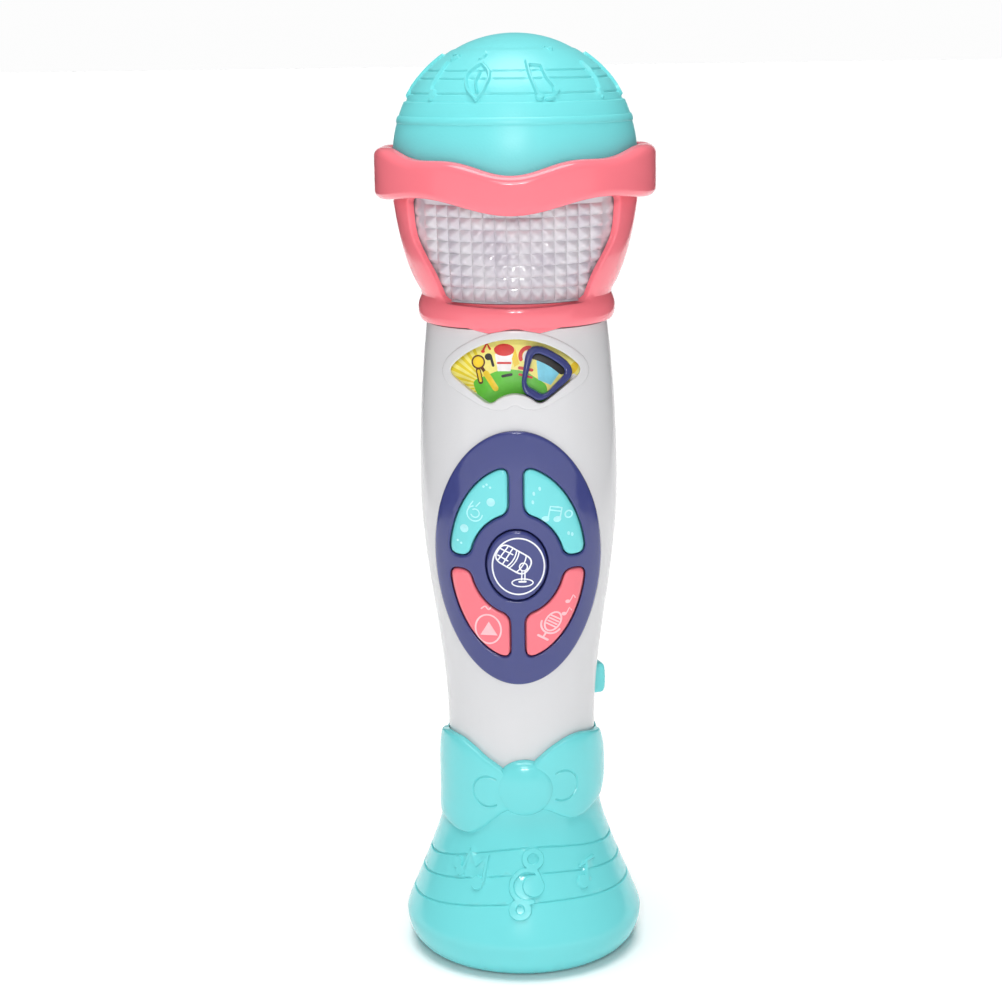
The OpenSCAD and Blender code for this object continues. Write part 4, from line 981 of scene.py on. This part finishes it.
def centre_figure():
    stand = [stroke(ellipse(1.0, 1.05, (1.7, -0.2), steps=24), 0.34, True),
             stroke([(1.3, -1.3), (1.2, -3.7)], 0.34), stroke([(2.1, -1.3), (2.0, -3.7)], 0.34),
             stroke(ellipse(2.7, 1.05, (1.4, -4.5), steps=36), 0.34, True),
             stroke([(0.6, -4.2), (2.2, -4.2)], 0.5)]
    ring = [stroke(ellipse(6.65, 7.55, (0.4, -0.1), steps=72), 0.4, True)]
    return ring + moved(microphone_print(), -0.3, 1.5, -31, 1.18) + stand


def swirl_print():
    lines = (arc((0, 0), 2.0, 100, 350, 14), arc((0.1, 0.1), 1.1, 200, 480, 12), [(-1.6, 1.5), (-0.4, 3.2)],
             [(0.4, 1.9), (1.4, 3.0)])
    spiral = [stroke(line, 0.34) for line in lines]
    discs = [blob(ellipse(1.1, 1.1, p, steps=20)) for p in ((4.2, 3.2), (-2.8, -4.2))]
    places = ((2.4, 7.2), (3.2, 7.7), (4.1, 7.0), (-4.6, -7.6), (-3.7, -8.2))
    return spiral + discs + [blob(ellipse(0.32, 0.32, p, steps=12)) for p in places]


def tune_print():
    pair = [stroke([(-1.6, -1.4), (-1.6, 1.8), (1.4, 1.8), (1.4, -0.9)], 0.42),
            stroke([(-1.6, 0.9), (1.4, 0.9)], 0.34),
            blob(ellipse(1.0, 0.8, (-2.2, -1.6), 15, 18)), blob(ellipse(1.0, 0.8, (0.8, -1.2), 15, 18))]
    ring = [stroke(ellipse(0.9, 0.9, (3.4, 0.4), steps=20), 0.4, True)]
    places = ((-5.2, 5.9), (-6.4, 4.4), (-6.2, 2.2), (4.4, -4.6), (5.4, -4.8))
    return pair + ring + [blob(ellipse(0.34, 0.55, p, 20, 12)) for p in places]


def play_print():
    ring = [stroke(ellipse(3.35, 4.0, steps=40), 0.45, True)]
    wave = curve([(-1.7, 5.6), (-0.7, 6.3), (0.2, 5.5), (1.1, 6.2), (1.9, 5.6)])
    return ring + [blob([(0.2, 2.1), (-2.1, -1.8), (2.4, -1.6)]), stroke(wave, 0.36)]


def singer_print():
    head = [stroke(ellipse(1.9, 2.7, (0, 0.9), steps=30), 0.46, True)]
    head += [stroke([(-1.3, k), (1.3, k)], 0.42) for k in (-0.2, 0.6, 1.4, 2.2)]
    cradle = [stroke(arc((0, 0.2), 2.7, 190, 350, 14), 0.5), stroke([(0, -2.5), (0, -3.9)], 0.5),
              stroke([(-1.4, -4.1), (1.4, -4.1)], 0.6)]
    return head + cradle


def buttons():
    button("voice_button", "centre_button", "centre_key", ellipse(7.75, 9.4, (0, CENTRE_Z)),
           ellipse(9.05, 10.7, (0, CENTRE_Z)), (0, CENTRE_Z), indigo, white_print,
           moved(centre_figure(), 0, CENTRE_Z))
    icons = {
        "upper_left": moved(swirl_print(), -10.6, PANEL_Z + 12.6),
        "upper_right": moved(tune_print(), 9.9, PANEL_Z + 12.4, -12),
        "lower_left": moved(play_print(), -7.7, PANEL_Z - 18.6),
        "lower_right": moved(singer_print(), 8.6, PANEL_Z - 17.4, -32)
        + moved(small_note(), 12.9, PANEL_Z - 11.6, -30) + moved(small_note(), 11.9, PANEL_Z - 14.9, -30)}
    for side, sx in (("left", -1), ("right", 1)):
        for level, sz, colour, ink in (("upper", 1, turquoise, pale_print), ("lower", -1, pink, pink_print)):
            name = f"{level}_{side}"
            stem = (sx * STEMS[level][0], PANEL_Z + STEMS[level][1])
            button(f"{name}_cap", f"{name}_button", f"{name}_key", quadrant(sx, sz, -BUTTON_GAP),
                   quadrant(sx, sz, LIP), stem, colour, ink, icons[name])


# ---------- picture window and its selector ----------

CARD_SLOPE, CARD_FLAT = 0.34, 10.2
CARD_FRONT = 20.4


def card_place(plan, h):
    reach = np.hypot(plan[:, 0], plan[:, 1] - PIVOT_Z)
    y = CARD_FRONT - CARD_SLOPE * np.maximum(reach - CARD_FLAT, 0)
    return np.column_stack([plan[:, 0], -(y + h), plan[:, 1]])


def picture_card():
    """A printed scene: rays, a maraca, a note, a drum on a green hill, a balloon and a blue bucket, and a painted
    shadow: a dark band just inside the selector ring's upper edge.
    """
    def paint(ink, *parts):
        return Mark(list(parts), slot=ink)

    cream, ray, green, gold, brown, red, pale, black, blue, rose = range(10)
    outline = fan(7.2, WINDOW_RO + 1, WINDOW_HALF + 2.5, 0.5)
    centre = array((-6.4, 157.4))
    rays = []
    for start in 112 + 10.5 * np.arange(9):
        far, near = arc(centre, 12, start, start + 5, 1), arc(centre, 2.4, start + 5, start, 1)
        rays.append(blob(np.vstack([far, near])))
    hill = blob(curve([(-10.6, 158.0), (-7, 160.2), (-3, 161.6), (2, 161.2), (5, 159.6), (8, 157.0), (6, 152),
                       (-6, 152)], True))
    marks = [
        paint(ray, *rays), paint(green, hill),
        paint(brown, blob(ellipse(1.75, 1.75, (-9.4, 163.4), steps=28)),
              stroke([(-8.6, 162.2), (-5.2, 157.2)], 0.8), stroke([(-9.4, 161.4), (-8.8, 158.6)], 1.3)),
        paint(gold, blob(ellipse(1.35, 1.35, (-9.4, 163.4), steps=24)),
              stroke([(-7.4, 160.6), (-5.0, 157.0)], 1.5), stroke([(-9.35, 161.2), (-8.8, 158.8)], 0.7)),
        paint(red, stroke([(-8.2, 166.2), (-7.2, 168.0), (-6.4, 166.6)], 0.55),
              blob(ellipse(0.5, 0.4, (-8.2, 166.0), steps=14))),
        paint(black, blob(ellipse(0.95, 0.85, (-6.8, 164.7), steps=20)),
              stroke([(-6.1, 164.4), (-5.6, 162.6)], 0.7)),
        paint(pale, blob([(-5.2, 165.4), (-0.4, 165.4), (-1.2, 161.2), (-4.4, 161.2)])),
        paint(red, blob(ellipse(2.6, 1.5, (-2.8, 166.4), steps=30)),
              stroke([(-4.4, 163.2), (-1.2, 163.2)], 0.5)),
        paint(black, stroke([(-3.2, 160.0), (-1.0, 160.4)], 0.7)),
        paint(gold, blob([(0.0, 166.8), (1.1, 163.0), (-0.2, 162.2), (-0.9, 164.2)])),
        paint(red, stroke(arc((3.4, 164.8), 2.1, 80, 200, 12), 1.0), stroke([(1.1, 162.0), (4.2, 161.4)], 0.8),
              stroke([(1.1, 160.4), (4.2, 159.6)], 0.6)),
        paint(pale, blob(ellipse(1.3, 1.6, (3.2, 164.6), steps=20))),
        paint(blue, blob([(5.4, 163.6), (8.0, 165.6), (12.2, 161.8), (9.0, 157.6), (5.8, 159.0)])),
        paint(rose, blob(ellipse(2.3, 1.1, (10.3, 163.8), -38, 24))),
        paint(gold, blob(ellipse(1.0, 1.6, (14.8, 161.6), -30, 20))),
        # painted shadow: a dark arc band just inside the selector ring's upper edge, where the ring would shade
        # the card
        paint(black, stroke(arc((0, PIVOT_Z), 17.3, 47, 74, 10), 2.2)),
        paint(pale, blob(ellipse(0.7, 1.0, (14.6, 159.2), -30, 18))),
    ]
    card = sheet(card_place, lambda p: card_place(p, -0.4), outline, marks=marks, step=1.1, edge=0.0)
    add("picture_sheet", "picture_card", card, PICTURE_INKS)


def selector():
    """The ring that frames one picture, its neck, and the hub on the pivot."""
    def place(plan, h):
        reach = np.hypot(plan[:, 0], plan[:, 1] - PIVOT_Z)
        return np.column_stack([plan[:, 0], -(24.3 - 0.44 * (reach - 8) + h), plan[:, 1]])

    opening = fan(SELECTOR_RI + 1.8, SELECTOR_RO - 1.7, SELECTOR_HALF - 6.3, 1.9, SELECTOR_REST)
    outline = fan(SELECTOR_RI, SELECTOR_RO, SELECTOR_HALF, 3.8, SELECTOR_REST)
    ring = sheet(place, lambda p: card_place(p, 0.4), outline, [opening], step=0.7, edge=0.65)
    neck = fan(3, SELECTOR_RI + 0.8, 9, 0.4, SELECTOR_REST)
    arm = sheet(lambda p, h: np.column_stack([p[:, 0], 0 * h - 22.2 - h, p[:, 1]]),
                lambda p: np.column_stack([p[:, 0], 0 * p[:, 0] - 20.8, p[:, 1]]), neck, step=0.9, edge=0.15)
    hub = washer_y([(2.08, 20.8), (2.08, 22.2), (3.7, 22.2), (4.0, 21.9), (4.0, 20.8)], 0, PIVOT_Z)
    add("selector_ring", "selector_frame", joined(ring, arm, hub), [indigo], "picture_selector")


# ---------- power switch ----------

SWITCH_TURN = math.radians(20)


def switch_knob():
    """A rounded slider with three grip ridges, its stem and the tongue behind the wall."""
    low, high = box("switch_knob")
    middle = (low[2] + high[2]) / 2
    half_w, half_h, start, top = 3.2, 4.25, 19.75, 23.7
    face = rounded([(-half_w, -half_h), (half_w, -half_h), (half_w, half_h), (-half_w, half_h)], 1.6)
    ridges = Mark([stroke([(-1.7, z), (1.7, z)], 0.7) for z in (-1.6, 0, 1.6)], 0.3, 0.3)
    cap = sheet(lambda p, h: np.column_stack([p[:, 0], top - 0.3 + h - 0.02 * p[:, 1] ** 2, p[:, 1]]),
                lambda p: np.column_stack([1.0 * p[:, 0], 0 * p[:, 0] + start, p[:, 1]]),
                face, marks=[ridges], step=0.6, edge=1.1)
    stem = box_solid((-1.6, 17.2, -1.75), (1.6, 20, 1.75))
    tongue = box_solid((-3, 16.4, -4.6), (3, 17.3, 4.6))
    points, faces, _ = joined(cap, stem, tongue)
    c, s = math.cos(SWITCH_TURN), math.sin(SWITCH_TURN)
    x, y = points[:, 1] * c - points[:, 0] * s, points[:, 1] * s + points[:, 0] * c
    points = np.column_stack([x, y, points[:, 2] + middle])
    add("slide_knob", "switch_knob", (points, faces), [turquoise], "power_slider")


# ---------- foot ----------

COLLAR_R = 20.6
BORE_R = 19.85
RIM_R = 24.9
BULGE_Z = 9.6
KNOT_AT, KNOT_R, KNOT_FRONT = (1.1, 50.1), 7.7, 23.3


def foot_section():
    rim = [(RIM_R + (FOOT_R - RIM_R) * math.sin(a), BULGE_Z * (1 - math.cos(a)))
           for a in np.radians(np.linspace(0, 90, 25))]
    bell = bezier((FOOT_R, BULGE_Z), (31.2, 14), (COLLAR_R + 0.1, 34.5), (COLLAR_R, 44), 48)
    return np.vstack([rim, bell[1:], [(COLLAR_R, 53), (COLLAR_R - 0.25, 60), (COLLAR_R - 0.35, 66)]])


def staff_height(angle, z, rise, tilt):
    a = np.radians(angle)
    return z + rise * (1 + np.cos(2 * a)) / 2 + tilt * np.sin(a)


def notch_line():
    """The collar's upper edge round the waist: it falls towards the knot from both wings."""
    back = [(angle, 60.8) for angle in (90, 120, 150)] + [(180, 60.2)]
    left = [(-70, 61.8), (-50, 62.0), (-36, 60.2), (-26, 58.0), (-15, 55.8)]
    middle = [(-8, 53.6), (0, 53.0), (6, 54.9), (10, 57.0)]
    right = [(16, 58.8), (25, 61.0), (38, 62.8), (52, 63.1), (70, 61.8)]
    return curve([(-angle, z) for angle, z in back[::-1]] + left + middle + right + back)


def bow(foot):
    """Two broad soft wings with a crisp lower edge, and a crease round each side of the knot."""
    left = [(-6, 55.6), (-15, 57.6), (-26, 59.6), (-36, 61.6), (-50, 63.2), (-80, 63), (-104, 56), (-110, 49),
            (-102, 41.5), (-84, 37.9), (-62, 36.9), (-43, 36.2), (-31, 37.8), (-16, 42.4), (-5, 46)]
    right = [(6, 56), (12, 59.8), (23, 62.4), (39, 64.2), (70, 63.4), (96, 58), (108, 50), (100, 44.6),
             (80, 42.2), (62, 41.2), (48, 40.2), (37, 40.4), (22, 43.2), (8, 46)]
    wings = [blob(curve(at(foot, wing), True)) for wing in (left, right)]
    creases = [stroke(drawn_at(foot, angle, z, arc((0, 0), 4.1, start, start + 240, 22)), 0.7)
               for angle, z, start in ((-22.5, 49.2, 60), (30.8, 50.4, -120))]
    return [Mark(wings, 1.5, 6.0, pillow=True), Mark(wings, 0.35, 0.3), Mark(creases, -0.32, 0.3)]


def knot():
    """The round button in the middle of the bow, down to the bore behind it."""
    outline = ellipse(KNOT_R, KNOT_R, KNOT_AT, steps=90)

    def place(plan, h):
        fall = 0.034 * np.sum((plan - KNOT_AT) ** 2, axis=1)
        return np.column_stack([plan[:, 0], fall - KNOT_FRONT - h, plan[:, 1]])

    def behind(plan):
        return np.column_stack([plan[:, 0], -np.sqrt(BORE_R**2 - plan[:, 0] ** 2), plan[:, 1]])

    return sheet(place, behind, outline, step=0.9, edge=1.3)


def foot_notes(foot):
    """A clef at the front, a beamed pair and a single note beside it, and single notes at the back."""
    def ring_at(angle, z, r, width):
        return stroke(drawn_at(foot, angle, z, ellipse(r, r, steps=32)), width, True)

    def pen(*pairs, width=1.2):
        return stroke(at(foot, pairs), width)

    def dot(angle, z, r):
        return blob(drawn_at(foot, angle, z, ellipse(r, r, steps=28)))

    clef = [ring_at(7.8, 31.4, 2.15, 1.8), ring_at(-0.3, 19.2, 2.05, 1.9), dot(7.4, 24.8, 3.0),
            stroke(drawn_at(foot, 3.4, 24.8, arc((0.2, 0), 4.2, 70, 285, 22)), 1.5),
            stroke(curve(at(foot, [(8.5, 28.8), (10.4, 27.4), (11.4, 25.4)])), 1.5)]
    pair = [pen((-38, 26.6), (-34.7, 32.2), (-28.6, 28.8), (-21.8, 31.4), (-22.6, 25.4)),
            dot(-26.4, 24.7, 2.0), dot(-43, 28.4, 1.8), dot(-39.4, 26.6, 1.5)]
    single = [dot(38.4, 24.0, 2.0), pen((41.6, 24.4), (44.2, 28.6), (51.2, 29.0)),
              pen((44.0, 28.4), (38.6, 27.9), width=1.0)]
    rear = [dot(a, 24.6, 2.0) for a in (140, 180, -140)]
    rear += [pen((a + 3.4, 24.8), (a + 3.8, 31), (a + 9.5, 29.4)) for a in (140, 180, -140)]
    return Mark(clef + pair + single + rear, 0.6, 0.3)


def foot_shell():
    foot = Turned(foot_section())
    hollow = array([(23.2, 0), (23.2, 3.4), (28.6, 6), (29.6, 9), (28.4, 14), (26.3, 18), (24.2, 22),
                    (22.8, 24), (BORE_R, 26), (BORE_R, 66)])
    top = notch_line()
    low, high = ring_line(foot, 0.0), ring_line(foot, lambda angle: np.interp(angle, top[:, 0], top[:, 1]))
    notes = foot_notes(foot)
    angles = np.linspace(-180, 180, 121)
    lines = [at(foot, np.column_stack([angles, staff_height(angles, z, rise, tilt)]))
             for z, rise, tilt in ((28.9, 5.1, 1.85), (23.4, 4.1, 1.6), (17.3, 3.2, 1.7))]
    staff = [Mark([stroke(line, 0.8)], -0.4, 0.35, under=[notes]) for line in lines]
    shell = sheet(foot.place, lining(foot, hollow), strip(low, high), marks=[*bow(foot), notes, *staff],
                  ends=[high], step=1.15, edge=0.5)
    deck = washer_z([(8, 24), (22.9, 24), (20.5, 26), (8, 26)])
    posts = pillars(20.3, 3.4, 24.5, 2.5, (45, 135, 225, 315))
    add("bell_foot", "foot_shell", joined(shell, knot(), deck, *posts), [turquoise], sharp=40)


def base_plate():
    add("speaker_grille", "base_plate", cad_shape("base_plate"), [turquoise], sharp=SHELL_SHARP)


# ---------- pieces kept from the CAD model ----------

def kept_nodes():
    dress(reflector, "head_deck", "picture_plate")
    dress(board, "led_board", "main_board", "mode_board", "switch_board")
    dress(chip, "board_chips")
    dress(lamp_resin, "led_lamps")
    dress(silicone, "button_mat")
    dress(steel, "head_deck_screws", "led_board_screws", "head_screws", "shell_screws", "board_screws",
          "pivot_screw", "battery_springs", "battery_plates", "battery_door_screw", "slide_switch",
          "switch_screws", "foot_screws", "base_screws")
    dress(brass, "selector_wiper")
    dress(cells, "battery_cells")
    dress(ivory, "switch_lever")
    dress(speaker_frame, "speaker_basket")
    dress(cone_paper, "speaker_cone")
    dress(magnet, "speaker_magnet")
    dress(wire_skin, "head_wires", "speaker_wires", "battery_wires")


# ---------- floor, light and camera ----------

def card(name, corners, grain, low, high):
    """A flat matt card of the studio, between two tones."""
    mesh = bpy.data.meshes.new(name)
    mesh.from_pydata(corners, [], [(0, 1, 2, 3)])
    flat = bpy.data.objects.new(name, mesh)
    bpy.context.scene.collection.objects.link(flat)
    f = Finish(name)
    tone = f.blend(f.noise(grain), low, high)
    mesh.materials.append(f.set(Base_Color=tone, Roughness=0.9, Specular_IOR_Level=0.0))
    flat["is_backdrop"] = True
    return flat


def floor():
    reach = 30
    corners = [(-reach, -reach, 0), (reach, -reach, 0), (reach, reach, 0), (-reach, reach, 0)]
    card("floor", corners, 3, srgb(253, 253, 253), srgb(255, 255, 255))


def flags():
    """Dark cards on both sides, seen only in the object's reflections, that keep its edges deep."""
    near, far, top = -0.2, 1.8, 0.5
    for name, x in (("left_flag", -0.45), ("right_flag", 0.45)):
        corners = [(x, near, 0), (x, far, 0), (x, far, top), (x, near, top)]
        flag = card(name, corners, 40, srgb(60, 60, 62), srgb(72, 72, 74))
        flag.visible_camera = flag.visible_diffuse = flag.visible_shadow = flag.visible_transmission = False


def lamp(name, place, size, watts, aim=(0, 0, 0.12)):
    data = bpy.data.lights.new(name, "AREA")
    data.shape, data.size, data.size_y, data.energy = "RECTANGLE", size[0], size[1], watts
    light = bpy.data.objects.new(name, data)
    light.location = place
    light.rotation_euler = (Vector(aim) - Vector(place)).to_track_quat("-Z", "Y").to_euler()
    bpy.context.scene.collection.objects.link(light)


def studio():
    """White all round: brightest at the horizon, where it meets the floor."""
    world = bpy.data.worlds.new("studio")
    world.use_nodes = True
    tree = world.node_tree
    towards = tree.nodes.new("ShaderNodeTexCoord").outputs["Generated"]
    up = tree.nodes.new("ShaderNodeSeparateXYZ")
    tree.links.new(towards, up.inputs[0])
    level = tree.nodes.new("ShaderNodeMapRange")
    tree.links.new(up.outputs["Z"], level.inputs["Value"])
    for key, value in {"From Min": 0.04, "From Max": 0.12, "To Min": 0.98, "To Max": 0.18}.items():
        level.inputs[key].default_value = value
    tree.nodes["Background"].inputs["Color"].default_value = (1, 1, 1, 1)
    tree.links.new(level.outputs["Result"], tree.nodes["Background"].inputs["Strength"])
    return world


def lights():
    lamp("key", (-0.06, -0.9, 0.47), (0.05, 0.05), 1.1)
    lamp("second_key", (0.07, -0.9, 0.48), (0.05, 0.05), 1.1)
    lamp("above_camera", (0, -0.9, 0.74), (0.3, 0.2), 1.6)
    tent = bpy.data.lights.new("tent", "SUN")
    tent.energy, tent.angle = 2.8, math.radians(40)
    above = bpy.data.objects.new("tent", tent)
    above.rotation_euler = Vector((0.03, 0.04, -1)).to_track_quat("-Z", "Y").to_euler()
    bpy.context.scene.collection.objects.link(above)
    bpy.context.scene.world = studio()
    bpy.context.scene.view_settings.view_transform = "Standard"


def camera():
    data = bpy.data.cameras.new("camera")
    data.sensor_width, data.lens = 36, 74.57
    distance, height, side = 0.54, 0.241, math.radians(1.7)
    tilt, yaw, roll = math.radians(12.29), math.radians(0.51), math.radians(-0.80)
    view = bpy.data.objects.new("camera", data)
    view.location = (distance * math.sin(side), -distance * math.cos(side), height)
    aim = Matrix.Rotation(side + yaw, 4, "Z") @ Matrix.Rotation(math.pi / 2 - tilt, 4, "X")
    view.rotation_euler = (aim @ Matrix.Rotation(roll, 4, "Z")).to_euler()
    bpy.context.scene.collection.objects.link(view)
    bpy.context.scene.camera = view


camera()
lights()
floor()
flags()
kept_nodes()
for build in (dome_cap, visor_band, head_frame, light_shade, front_shell, rear_shell, battery_door,
              control_panel, buttons, picture_card, selector, switch_knob, foot_shell, base_plate):
    build()

sizes = {"cad": cad_box, "visual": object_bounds()}
{name: [list(map(float, corner)) for corner in corners] for name, corners in sizes.items()}
